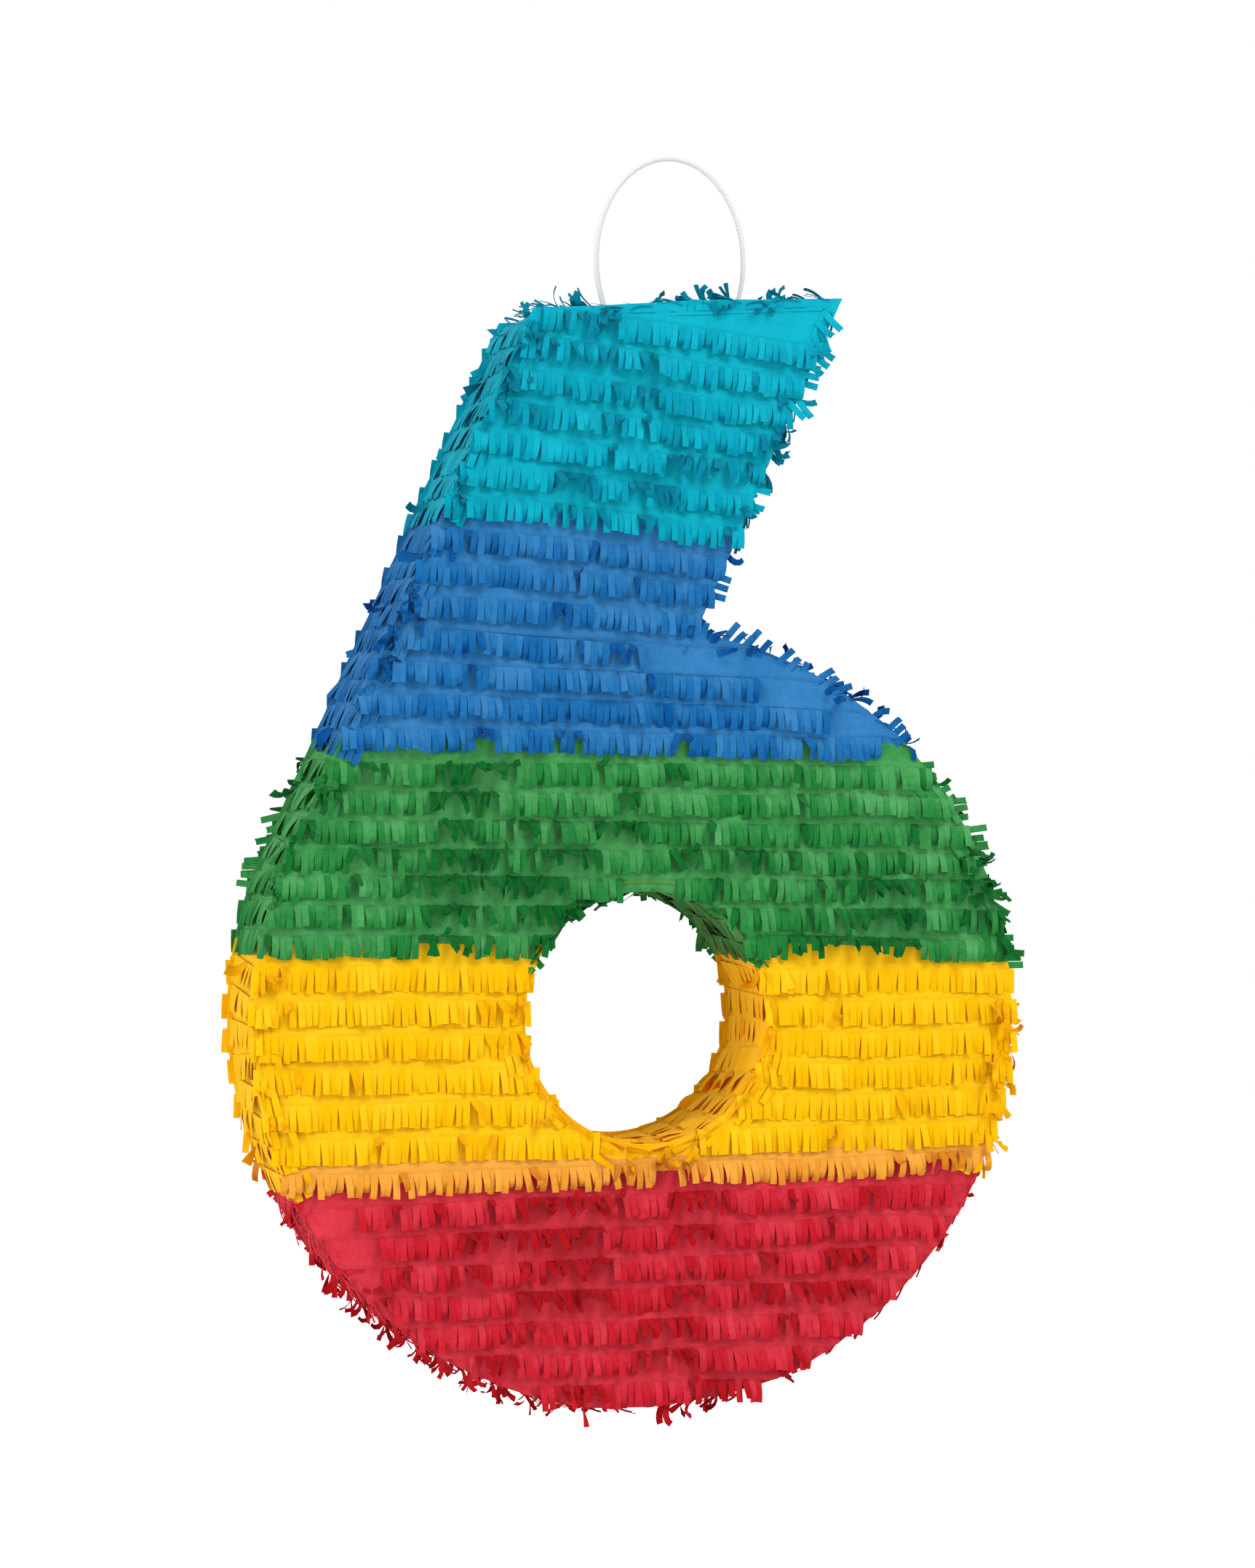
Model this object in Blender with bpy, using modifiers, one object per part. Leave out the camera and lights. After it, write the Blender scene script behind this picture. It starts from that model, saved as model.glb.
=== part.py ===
"""Hanging pinata in the shape of a figure six: a hollow card body with a round hole through its bowl,
dressed in five bands of cut tissue, with a filling flap in its back and a cord loop to hang it by.

Metres, +Z up, front towards -Y. The origin is the inside of the hanging loop's top, where a hook bears.
Outlines are drawn in the XZ plane about the bowl's centre and are then moved to BOWL_CENTRE.
"""

from math import asin, ceil, cos, floor, pi, radians, sin, sqrt, tan

import bmesh
import bpy
from mathutils import Matrix, Vector

# The dressed body, measured to the tissue's surface.
BODY_DEPTH = 0.089
BOWL_CENTRE = Vector((-0.026, -0.432))
BOWL_RADIUS = 0.194
HOLE_RADIUS = 0.0625
HOLE_SHIFT = 0.004
STEM_LEAN = radians(24.3)
STEM_WIDTH = 0.141
STEM_LEFT_TOP = 0.352
TOP_TILT = radians(3.3)

# What it is made of.
TISSUE = 0.0035
PANEL = 0.003
WALL = 0.0025
HANGER = 0.003
TAPE = 0.0005
GAP = 0.0003
CHORD = radians(5)

# The cord and its loop, an arc of an ellipse that stands over the top of the stem.
CORD_RADIUS = 0.0015
LOOP_HALF_WIDTH = 0.0385
LOOP_HALF_HEIGHT = 0.052
FOOT_SPREAD = 0.0345
FOOT_RISE = 0.002
PIVOT_CLEARANCE = 0.00165
CORD_HOLE = CORD_RADIUS + 0.0005
KNOT_RADIUS = 0.0045
KNOT_HEIGHT = 0.008

# The reinforcing card under the top wall.
HANGER_LENGTH = 0.100
HANGER_WIDTH = 0.056

# The flap in the back of the stem: cut on three sides and creased along its top edge.
FLAP_WIDTH = 0.070
FLAP_HEIGHT = 0.056
FLAP_LEFT = -0.039
FLAP_TOP = 0.320
FLAP_CUT = 0.0006
CREASE_BARE_ABOVE = 0.006
CREASE_BARE_BELOW = 0.003

TAPE_ARM = 0.016
SIDE_SPLIT = -0.040
FAR = 0.5

# Each band's colour, and the height and the tilt of its lower edge at the bowl's centre line.
BANDS = {
    "turquoise": ("00A5B7", 0.2375, radians(-5.1)),
    "blue": ("2268B0", 0.1295, radians(-0.5)),
    "green": ("2B8A3B", 0.0285, radians(-0.75)),
    "yellow": ("FBC205", -0.0845, radians(1.0)),
    "red": ("C42439", -FAR, 0.0),
}
KRAFT = "B08A5E"
GUMMED_TAPE = "C9A878"
CORD_WHITE = "ECECEA"

# Depths of the layers, front to back.
TISSUE_Y = BODY_DEPTH / 2
SIDE_Y = TISSUE_Y - TISSUE - GAP
WALL_Y = SIDE_Y - PANEL - GAP
CARD_INSET = TISSUE + GAP
INNER_INSET = CARD_INSET + WALL + GAP


def linear(hex_colour):
    """An sRGB hex colour as linear red, green, blue and alpha."""
    channels = [int(hex_colour[i : i + 2], 16) / 255 for i in (0, 2, 4)]
    return [c / 12.92 if c <= 0.04045 else ((c + 0.055) / 1.055) ** 2.4 for c in channels] + [1.0]


def finish(name, hex_colour, roughness):
    """A plain non-metallic material."""
    material = bpy.data.materials.new(name)
    material.use_nodes = True
    shader = material.node_tree.nodes["Principled BSDF"]
    shader.inputs["Base Color"].default_value = linear(hex_colour)
    shader.inputs["Roughness"].default_value = roughness
    shader.inputs["Metallic"].default_value = 0.0
    return material


# ---- The outline of the figure, in the bowl's own XZ plane ----

LEFT_NORMAL = Vector((-cos(STEM_LEAN), sin(STEM_LEAN)))
UP_STEM = Vector((sin(STEM_LEAN), cos(STEM_LEAN)))
TOP_NORMAL = Vector((-sin(TOP_TILT), cos(TOP_TILT)))
ALONG_TOP = Vector((cos(TOP_TILT), sin(TOP_TILT)))
TOP_LEFT = Vector(((STEM_LEFT_TOP * sin(STEM_LEAN) - BOWL_RADIUS) / cos(STEM_LEAN), STEM_LEFT_TOP))
HOLE_CENTRE = Vector((HOLE_SHIFT, 0.0))


def crossing(normal_a, distance_a, normal_b, distance_b):
    """The point where two lines meet, each given by its normal and its distance from the bowl's centre."""
    spread = normal_a.x * normal_b.y - normal_a.y * normal_b.x
    x = (distance_a * normal_b.y - distance_b * normal_a.y) / spread
    z = (normal_a.x * distance_b - normal_b.x * distance_a) / spread
    return Vector((x, z))


def corners(inset):
    """The outline's four named corners, at a depth of inset under the tissue's surface."""
    left = BOWL_RADIUS - inset
    right = BOWL_RADIUS - STEM_WIDTH + inset
    top = TOP_NORMAL.dot(TOP_LEFT) - inset
    return {
        "bowl_left": LEFT_NORMAL * left,
        "top_left": crossing(LEFT_NORMAL, left, TOP_NORMAL, top),
        "top_right": crossing(LEFT_NORMAL, right, TOP_NORMAL, top),
        "notch": LEFT_NORMAL * right + UP_STEM * sqrt(left**2 - right**2),
    }


def arc(centre, radius, start, end):
    """Points clockwise along a circle from one angle to a lower one, on whole steps of CHORD between them."""
    first = floor(start / CHORD - 0.2)
    last = ceil(end / CHORD + 0.2)
    angles = [start] + [step * CHORD for step in range(first, last - 1, -1)] + [end]
    return [centre + radius * Vector((cos(a), sin(a))) for a in angles]


def bowl_arc(inset, trim=0.0):
    """The bowl's edge from the notch round the right, the bottom and the left to where the stem begins."""
    notch = corners(inset)["notch"]
    start = Vector((1, 0)).angle_signed(notch) * -1
    end = pi - STEM_LEAN - 2 * pi
    return arc(Vector((0, 0)), BOWL_RADIUS - inset, start - trim, end + trim)


def outline(inset):
    """The whole figure's edge, clockwise from the notch."""
    place = corners(inset)
    return bowl_arc(inset) + [place["top_left"], place["top_right"]]


def circle(radius):
    """The edge of the hole through the bowl."""
    steps = round(2 * pi / CHORD)
    return [HOLE_CENTRE + radius * Vector((cos(i * CHORD), sin(i * CHORD))) for i in range(steps)]


def rectangle(left, right, low, high):
    return [Vector((left, low)), Vector((right, low)), Vector((right, high)), Vector((left, high))]


# ---- Making solids ----


def link(name, mesh, collection, material=None):
    made = bpy.data.objects.new(name, mesh)
    if material:
        made.data.materials.append(material)
    collection.objects.link(made)
    return made


def welded(shape, name):
    """A mesh copy of a curve object, with its caps joined to its sides. The curve is removed."""
    bpy.context.view_layer.update()
    evaluated = shape.evaluated_get(bpy.context.evaluated_depsgraph_get())
    mesh = bpy.data.meshes.new_from_object(evaluated)
    mesh.name = name
    solid = bmesh.new()
    solid.from_mesh(mesh)
    bmesh.ops.remove_doubles(solid, verts=solid.verts, dist=0.00001)
    bmesh.ops.recalc_face_normals(solid, faces=solid.faces)
    solid.to_mesh(mesh)
    solid.free()
    matrix = shape.matrix_world.copy()
    bpy.data.objects.remove(shape)
    return mesh, matrix


def plate(name, loops, front, back, collection, material=None):
    """A flat solid between two depths, with one outer loop and any inner loops as its edges."""
    flat = bpy.data.curves.new(name + "_outline", "CURVE")
    flat.dimensions = "2D"
    flat.fill_mode = "BOTH"
    flat.extrude = (back - front) / 2
    for loop in loops:
        line = flat.splines.new("POLY")
        line.points.add(len(loop) - 1)
        line.use_cyclic_u = True
        for point, place in zip(line.points, loop):
            point.co = (place.x, place.y, 0, 1)
    shape = bpy.data.objects.new(name + "_outline", flat)
    bpy.context.scene.collection.objects.link(shape)
    stand_up = Matrix.Rotation(pi / 2, 4, "X")
    middle = (BOWL_CENTRE.x, (front + back) / 2, BOWL_CENTRE.y)
    shape.matrix_world = Matrix.Translation(middle) @ stand_up
    mesh, matrix = welded(shape, name)
    made = link(name, mesh, collection, material)
    made.matrix_world = matrix
    return made


def cutter(name, loops, front=-FAR, back=FAR):
    """A guide solid that shapes the parts and isn't one of them."""
    made = plate(name, loops, front, back, cutters)
    return as_cutter(made)


def as_cutter(made):
    made.hide_render = True
    made.display_type = "WIRE"
    return made


def boolean(made, other, operation):
    step = made.modifiers.new(other.name, "BOOLEAN")
    step.operation = operation
    step.object = other
    step.solver = "EXACT"
    return made


def strip(name, start, end, inset, thickness, y, material):
    """A straight strip of the wall between two named corners, its ends mitred and a gap short of them."""
    outer = corners(inset)
    inner = corners(inset + thickness)
    along = (outer[end] - outer[start]).normalized() * GAP
    loop = [outer[start] + along, outer[end] - along, inner[end] - along, inner[start] + along]
    return plate(name, [loop], -y, y, parts, material)


# ---- The scene's two collections ----

for old in list(bpy.data.objects):
    bpy.data.objects.remove(old)

parts = bpy.data.collections.new("pinata")
cutters = bpy.data.collections.new("cutters")
bpy.context.scene.collection.children.link(parts)
bpy.context.scene.collection.children.link(cutters)

kraft = finish("kraft_card", KRAFT, 0.85)
gummed = finish("gummed_paper_tape", GUMMED_TAPE, 0.7)
cord_white = finish("white_cord", CORD_WHITE, 0.7)
tissues = {band: finish("tissue_" + band, BANDS[band][0], 0.8) for band in BANDS}


# ---- The feet of the hanging loop ----


def top_surface(x):
    """The height of the tissue on top of the stem at x from the origin."""
    return BOWL_CENTRE.y + TOP_LEFT.y + (x - BOWL_CENTRE.x - TOP_LEFT.x) * tan(TOP_TILT)


def loop_point(angle):
    """A point on the cord's centre line: the loop's ellipse, whose top inside edge is at the origin."""
    x = LOOP_HALF_WIDTH * cos(angle)
    z = CORD_RADIUS - LOOP_HALF_HEIGHT + LOOP_HALF_HEIGHT * sin(angle)
    return Vector((x, 0, z))


UP_FROM_TOP = Vector((TOP_NORMAL.x, 0, TOP_NORMAL.y))


def foot(side):
    """The bend just above the tissue on one side: the loop folds about the line through both feet."""
    drop = top_surface(side * FOOT_SPREAD) + FOOT_RISE - CORD_RADIUS + LOOP_HALF_HEIGHT
    x = side * LOOP_HALF_WIDTH * cos(asin(drop / LOOP_HALF_HEIGHT))
    return Vector((x, 0, top_surface(x))) + UP_FROM_TOP * FOOT_RISE


FEET = {"left": foot(-1), "right": foot(1)}


def cord_hole(side):
    """A round clearance hole for one leg of the cord, square to the top wall."""
    depth = 0.06
    drill = bmesh.new()
    bmesh.ops.create_cone(
        drill, cap_ends=True, segments=12, radius1=CORD_HOLE, radius2=CORD_HOLE, depth=depth
    )
    mesh = bpy.data.meshes.new("cord_hole_" + side)
    drill.to_mesh(mesh)
    drill.free()
    made = link("cord_hole_" + side, mesh, cutters)
    made.location = FEET[side]
    made.rotation_euler = (0, -TOP_TILT, 0)
    return as_cutter(made)


cord_holes = [cord_hole(side) for side in FEET]


# ---- The card body ----


def make_panels():
    """The flat front and back cards. The back one has the filling opening."""
    loops = [outline(CARD_INSET), circle(HOLE_RADIUS + CARD_INSET)]
    plate("front_panel", loops, -SIDE_Y, -SIDE_Y + PANEL, parts, kraft)
    back = plate("back_panel", loops, SIDE_Y - PANEL, SIDE_Y, parts, kraft)
    opening = rectangle(
        FLAP_LEFT - FLAP_CUT, FLAP_LEFT + FLAP_WIDTH + FLAP_CUT, FLAP_TOP - FLAP_HEIGHT - FLAP_CUT, FLAP_TOP
    )
    boolean(back, cutter("filling_opening", [opening]), "DIFFERENCE")


def make_walls():
    """The strips that join the two panels: four round the outside and one round the hole."""
    top = strip("wall_top", "top_left", "top_right", CARD_INSET, WALL, WALL_Y, kraft)
    for hole in cord_holes:
        boolean(top, hole, "DIFFERENCE")
    strip("wall_stem_left", "bowl_left", "top_left", CARD_INSET, WALL, WALL_Y, kraft)
    strip("wall_stem_right", "top_right", "notch", CARD_INSET, WALL, WALL_Y, kraft)
    trim = GAP / BOWL_RADIUS
    bowl = bowl_arc(CARD_INSET, trim) + bowl_arc(CARD_INSET + WALL, trim)[::-1]
    plate("wall_bowl", [bowl], -WALL_Y, WALL_Y, parts, kraft)
    ring = [circle(HOLE_RADIUS + CARD_INSET + WALL), circle(HOLE_RADIUS + CARD_INSET)]
    plate("wall_hole", ring, -WALL_Y, WALL_Y, parts, kraft)


def make_hanger_plate():
    """The doubled card that spreads the cord's pull, inside the top wall."""
    outer = TOP_NORMAL.dot(TOP_LEFT) - INNER_INSET
    between_feet = (FEET["left"] + FEET["right"]).xz / 2 - BOWL_CENTRE
    middle = ALONG_TOP * ALONG_TOP.dot(between_feet)
    half = ALONG_TOP * (HANGER_LENGTH / 2)
    high = middle + TOP_NORMAL * outer
    low = middle + TOP_NORMAL * (outer - HANGER)
    loop = [low - half, low + half, high + half, high - half]
    made = plate("hanger_plate", [loop], -HANGER_WIDTH / 2, HANGER_WIDTH / 2, parts, kraft)
    for hole in cord_holes:
        boolean(made, hole, "DIFFERENCE")


def make_corner_tape(name, before, corner, after):
    """A folded strip of gummed paper inside one joint of the walls."""
    near = corners(INNER_INSET)
    far = corners(INNER_INSET + TAPE)
    one = (near[before] - near[corner]).normalized() * TAPE_ARM
    other = (near[after] - near[corner]).normalized() * TAPE_ARM
    loop = [near[corner] + one, near[corner], near[corner] + other]
    loop += [far[corner] + other, far[corner], far[corner] + one]
    plate(name, [loop], -WALL_Y, WALL_Y, parts, gummed)


def make_bowl_tape():
    """The gummed strip inside the joint between the stem's left wall and the bowl."""
    arm = TAPE_ARM / BOWL_RADIUS
    joint = pi - STEM_LEAN
    centre = Vector((0, 0))
    near = arc(centre, BOWL_RADIUS - INNER_INSET, joint + arm, joint)
    far = arc(centre, BOWL_RADIUS - INNER_INSET - TAPE, joint + arm, joint)
    up = UP_STEM * TAPE_ARM
    loop = near + [near[-1] + up, far[-1] + up] + far[::-1]
    plate("tape_bowl_left", [loop], -WALL_Y, WALL_Y, parts, gummed)


def make_notch_tape():
    """The gummed strip inside the joint between the stem's right wall and the bowl."""
    start = Vector((1, 0)).angle_signed(corners(INNER_INSET)["notch"]) * -1
    arm = TAPE_ARM / BOWL_RADIUS
    centre = Vector((0, 0))
    near = arc(centre, BOWL_RADIUS - INNER_INSET, start, start - arm)
    deep = corners(INNER_INSET + TAPE)["notch"]
    deep_start = Vector((1, 0)).angle_signed(deep) * -1
    far = arc(centre, BOWL_RADIUS - INNER_INSET - TAPE, deep_start, start - arm)
    up = UP_STEM * TAPE_ARM
    loop = near[::-1] + [near[0] + up, far[0] + up] + far
    plate("tape_notch", [loop], -WALL_Y, WALL_Y, parts, gummed)


# ---- The tissue ----


def edge_height(band, x):
    """The height of a band's lower edge."""
    return BANDS[band][1] + x * tan(BANDS[band][2])


def band_cutter(band, left=-FAR, right=FAR, label=""):
    """The slanted slab that a band's tissue lies in, half a gap short of each neighbour."""
    names = list(BANDS)
    place = names.index(band)
    half = GAP / 2
    loop = [Vector((x, edge_height(band, x) + half)) for x in (left, right)]
    if place:
        above = names[place - 1]
        loop += [Vector((x, edge_height(above, x) - half)) for x in (right, left)]
    else:
        loop += [Vector((right, FAR)), Vector((left, FAR))]
    return cutter("band_" + band + label, [loop])


def make_face_tissue(slabs):
    """The fringed tissue on the flat front and back, one piece of it for each band."""
    loops = [outline(0), circle(HOLE_RADIUS)]
    for band, slab in slabs.items():
        front = plate("front_fringe_" + band, loops, -TISSUE_Y, -TISSUE_Y + TISSUE, parts, tissues[band])
        boolean(front, slab, "INTERSECT")
        back = plate("back_fringe_" + band, loops, TISSUE_Y - TISSUE, TISSUE_Y, parts, tissues[band])
        boolean(back, slab, "INTERSECT")
    window = rectangle(
        FLAP_LEFT - FLAP_CUT,
        FLAP_LEFT + FLAP_WIDTH + FLAP_CUT,
        FLAP_TOP - FLAP_HEIGHT - FLAP_CUT,
        FLAP_TOP + CREASE_BARE_ABOVE,
    )
    boolean(bpy.data.objects["back_fringe_turquoise"], cutter("tissue_window", [window], 0), "DIFFERENCE")


def make_side_tissue(slabs):
    """The tissue round the outside walls. Middle bands show on the left and on the right apart."""
    loops = [outline(0), outline(TISSUE)]
    for band, slab in slabs.items():
        if band in ("turquoise", "red"):
            made = plate("side_fringe_" + band, loops, -SIDE_Y, SIDE_Y, parts, tissues[band])
            boolean(made, slab, "INTERSECT")
            continue
        for side, left, right in (("_left", -FAR, SIDE_SPLIT), ("_right", SIDE_SPLIT, FAR)):
            made = plate("side_fringe_" + band + side, loops, -SIDE_Y, SIDE_Y, parts, tissues[band])
            boolean(made, band_cutter(band, left, right, side), "INTERSECT")
    for hole in cord_holes:
        boolean(bpy.data.objects["side_fringe_turquoise"], hole, "DIFFERENCE")


def make_hole_tissue(slabs):
    """The tissue inside the hole: green over yellow."""
    ring = [circle(HOLE_RADIUS + TISSUE), circle(HOLE_RADIUS)]
    for band in ("green", "yellow"):
        made = plate("hole_fringe_" + band, ring, -SIDE_Y, SIDE_Y, parts, tissues[band])
        boolean(made, slabs[band], "INTERSECT")


# ---- The moving pieces ----


def make_flap():
    """The filling flap and its tissue, with their origins on the crease along the flap's top edge."""
    crease = Vector((BOWL_CENTRE.x + FLAP_LEFT + FLAP_WIDTH / 2, SIDE_Y, BOWL_CENTRE.y + FLAP_TOP))
    right = FLAP_LEFT + FLAP_WIDTH
    low = FLAP_TOP - FLAP_HEIGHT
    card = rectangle(FLAP_LEFT, right, low, FLAP_TOP - GAP)
    tissue = rectangle(FLAP_LEFT, right, low, FLAP_TOP - CREASE_BARE_BELOW)
    flap = plate("fill_flap", [card], SIDE_Y - PANEL, SIDE_Y, parts, kraft)
    dressing = plate("flap_fringe", [tissue], TISSUE_Y - TISSUE, TISSUE_Y, parts, tissues["turquoise"])
    for made in (flap, dressing):
        made.data.transform(Matrix.Translation(-crease) @ made.matrix_world)
        made.matrix_world = Matrix.Translation(crease)


def make_loop():
    """The hanging cord: the free arc above the body, with its origin on the line that it folds about."""
    left, right = (FEET[side] + UP_FROM_TOP * PIVOT_CLEARANCE for side in ("left", "right"))
    start = pi - asin((left.z + 0.004 - CORD_RADIUS + LOOP_HALF_HEIGHT) / LOOP_HALF_HEIGHT)
    end = asin((right.z + 0.004 - CORD_RADIUS + LOOP_HALF_HEIGHT) / LOOP_HALF_HEIGHT)
    steps = 26
    route = [left] + [loop_point(start + (end - start) * i / steps) for i in range(steps + 1)] + [right]
    line = bpy.data.curves.new("loop_line", "CURVE")
    line.dimensions = "3D"
    line.bevel_depth = CORD_RADIUS
    line.bevel_resolution = 2
    line.use_fill_caps = True
    cord = line.splines.new("POLY")
    cord.points.add(len(route) - 1)
    for point, place in zip(cord.points, route):
        point.co = (*place, 1)
    shape = bpy.data.objects.new("loop_line", line)
    bpy.context.scene.collection.objects.link(shape)
    mesh, matrix = welded(shape, "hanging_loop")
    made = link("hanging_loop", mesh, parts, cord_white)
    middle = (FEET["left"] + FEET["right"]) / 2
    made.data.transform(Matrix.Translation(-middle) @ matrix)
    made.matrix_world = Matrix.Translation(middle)
    made.data.shade_smooth()


def make_knot(side):
    """One end of the cord where it goes down through the top and is knotted under the hanger plate."""
    top = -PIVOT_CLEARANCE
    plate_bottom = -(FOOT_RISE + INNER_INSET + HANGER)
    knot_top = plate_bottom - GAP
    bulge = 6
    profile = [(0, top), (CORD_RADIUS, top), (CORD_RADIUS, knot_top)]
    for i in range(1, bulge):
        turn = pi * i / bulge
        radius = CORD_RADIUS + (KNOT_RADIUS - CORD_RADIUS) * sin(turn)
        profile.append((radius, knot_top - KNOT_HEIGHT * (1 - cos(turn)) / 2))
    profile += [(CORD_RADIUS, knot_top - KNOT_HEIGHT), (0, knot_top - KNOT_HEIGHT)]
    mesh = bpy.data.meshes.new("knot_" + side)
    edges = [(i, i + 1) for i in range(len(profile) - 1)]
    mesh.from_pydata([(r, 0, z) for r, z in profile], edges, [])
    made = link("knot_" + side, mesh, parts, cord_white)
    turned = made.modifiers.new("turned", "SCREW")
    turned.steps = 12
    turned.render_steps = 12
    turned.use_merge_vertices = True
    turned.merge_threshold = 0.0001
    turned.use_smooth_shade = True
    made.location = FEET[side]
    made.rotation_euler = (0, -TOP_TILT, 0)


def main():
    make_panels()
    make_walls()
    make_hanger_plate()
    make_corner_tape("tape_top_left", "bowl_left", "top_left", "top_right")
    make_corner_tape("tape_top_right", "top_left", "top_right", "notch")
    make_bowl_tape()
    make_notch_tape()
    slabs = {band: band_cutter(band) for band in BANDS}
    make_face_tissue(slabs)
    make_side_tissue(slabs)
    make_hole_tissue(slabs)
    make_flap()
    make_loop()
    for side in FEET:
        make_knot(side)


main()
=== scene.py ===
"""The looks of a hanging pinata in the shape of a figure six: cut tissue pasted in rows over a card body."""

from collections import namedtuple
from math import acos, asin, cos, hypot, pi, radians, sin, sqrt, tan
from random import Random

import bmesh
import bpy
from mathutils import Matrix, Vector, noise


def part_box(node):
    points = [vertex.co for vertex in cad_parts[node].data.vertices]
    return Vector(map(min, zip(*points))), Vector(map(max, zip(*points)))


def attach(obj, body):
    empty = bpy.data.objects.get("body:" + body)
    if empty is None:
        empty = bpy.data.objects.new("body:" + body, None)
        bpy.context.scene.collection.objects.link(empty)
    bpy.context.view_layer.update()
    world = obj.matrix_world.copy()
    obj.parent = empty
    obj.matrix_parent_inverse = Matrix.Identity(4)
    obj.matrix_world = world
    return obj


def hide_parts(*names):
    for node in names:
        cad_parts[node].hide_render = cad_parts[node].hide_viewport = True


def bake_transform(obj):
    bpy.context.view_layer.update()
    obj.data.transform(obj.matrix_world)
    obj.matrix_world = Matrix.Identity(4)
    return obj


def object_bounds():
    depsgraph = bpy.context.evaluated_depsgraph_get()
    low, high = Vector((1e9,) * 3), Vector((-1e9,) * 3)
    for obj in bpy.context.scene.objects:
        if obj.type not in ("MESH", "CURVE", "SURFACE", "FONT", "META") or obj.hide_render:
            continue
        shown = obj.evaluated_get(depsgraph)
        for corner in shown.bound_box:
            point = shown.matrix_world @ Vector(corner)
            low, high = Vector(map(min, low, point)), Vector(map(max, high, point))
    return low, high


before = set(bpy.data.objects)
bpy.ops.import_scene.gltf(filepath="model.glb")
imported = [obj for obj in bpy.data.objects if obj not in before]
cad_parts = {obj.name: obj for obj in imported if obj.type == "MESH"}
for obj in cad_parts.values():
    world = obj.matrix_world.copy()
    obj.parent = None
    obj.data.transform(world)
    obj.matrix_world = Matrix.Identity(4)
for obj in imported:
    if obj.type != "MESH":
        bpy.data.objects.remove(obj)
CAD_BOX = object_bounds()

bl_info = {
    "name": "Figure six pinata",
    "version": (1, 0, 0),
    "blender": (4, 5, 0),
    "location": "3D View > Sidebar > Pinata",
    "description": "Dresses a figure-six pinata in rows of cut tissue, with its cord and a stage",
    "category": "Object",
}

MM = 0.001
MATH = "ShaderNodeMath"
VECTOR = "ShaderNodeVectorMath"
RANDOM = "FunctionNodeRandomValue"
STORE = "GeometryNodeStoreNamedAttribute"
READ = "GeometryNodeInputNamedAttribute"

# ---- The card body's figure, in the XZ plane about the bowl's centre ----

BOWL_CENTRE = Vector((-0.026, 0, -0.432))
BOWL_RADIUS = 0.194
HOLE_RADIUS = 0.0625
HOLE_CENTRE = Vector((0.004, 0, 0))
STEM_LEAN = radians(24.3)
STEM_WIDTH = 0.141
STEM_LEFT_TOP = 0.352
TOP_TILT = radians(3.3)
SKIN = 3.8 * MM  # from the tissue's CAD surface down to the card
CARD_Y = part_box("back_panel")[1].y
FLAP_LOW, FLAP_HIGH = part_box("fill_flap")
CREASE = FLAP_HIGH.z

SIDE_SPLIT = -40 * MM  # the middle of the stem's foot, which parts a band's left wall from its right one
FOOT_X = 34.5 * MM
FOOT_RISE = 2 * MM
CORD_RADIUS = 1.5 * MM
LOOP_HALF_WIDTH = 38.5 * MM
LOOP_HALF_HEIGHT = 52 * MM
FIRST_TURN, WHOLE_TURN = radians(8), radians(62)  # how the flat tape turns about its own line on its way over

LEFT_NORMAL = Vector((-cos(STEM_LEAN), 0, sin(STEM_LEAN)))
UP_STEM = Vector((sin(STEM_LEAN), 0, cos(STEM_LEAN)))
TOP_NORMAL = Vector((-sin(TOP_TILT), 0, cos(TOP_TILT)))
ALONG_TOP = Vector((cos(TOP_TILT), 0, sin(TOP_TILT)))
TOP_LEFT_X = (STEM_LEFT_TOP * sin(STEM_LEAN) - BOWL_RADIUS) / cos(STEM_LEAN)
TOP_LEFT = Vector((TOP_LEFT_X, 0, STEM_LEFT_TOP))

# Each band, by height at the bowl's centre line and by tilt in degrees: the edge below it, where its
# lowest strands end, and the edge above it; then its number of rows, and how its strands stand.
Band = namedtuple("Band", "low tilt top top_tilt rows lift curl loose")
BANDS = {
    "turquoise": Band(0.2375, -5.1, 0.3500, -7.5, 7, 0.54, -1.15, 0.10),
    "blue": Band(0.1295, -0.5, 0.2375, -5.1, 7, 0.50, -1.05, 0.08),
    "green": Band(0.0285, -0.75, 0.1295, -0.5, 7, 0.52, -0.95, 0.30),
    "yellow": Band(-0.0845, 1.0, 0.0285, -0.75, 7, 0.13, -0.25, 0.03),
    "red": Band(-0.1930, 0.0, -0.0845, 1.0, 7, 0.50, -0.95, 0.27),
}
BACK_TURQUOISE = Band(0.2335, -5.1, 0.3425, 0.0, 7, 0.54, -1.15, 0.10)
# How wide the paper is left plain along the front's and back's edges, and folded over them without a fringe.
PLAIN_EDGE = {("red", "left"): 34 * MM, ("red", "right"): 15 * MM, ("blue", "right"): 17 * MM}
# How often loose strands stick out past each wall's edges, and how far they reach.
TUFTS = {
    ("turquoise", "left"): (0.5, 7 * MM),
    ("turquoise", "right"): (0.75, 15 * MM),
    ("blue", "left"): (0.25, 9 * MM),
    ("blue", "right"): (0.3, 13 * MM),
    ("green", "left"): (0.7, 13 * MM),
    ("green", "right"): (0.7, 13 * MM),
    ("yellow", "left"): (0.45, 7 * MM),
    ("yellow", "right"): (0.4, 8 * MM),
    ("red", "left"): (0.4, 8 * MM),
    ("red", "right"): (0.35, 8 * MM),
}
TOP_TUFTS = (0.55, 8 * MM)
HOLE_TUFTS = {"green": (0.5, 10 * MM), "yellow": (0.35, 7 * MM)}
LAP = 8 * MM  # how far a band's paper runs up under the lowest strands of the band above
FOLD = 7 * MM  # how far a wall's strips are folded over the flat faces
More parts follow.
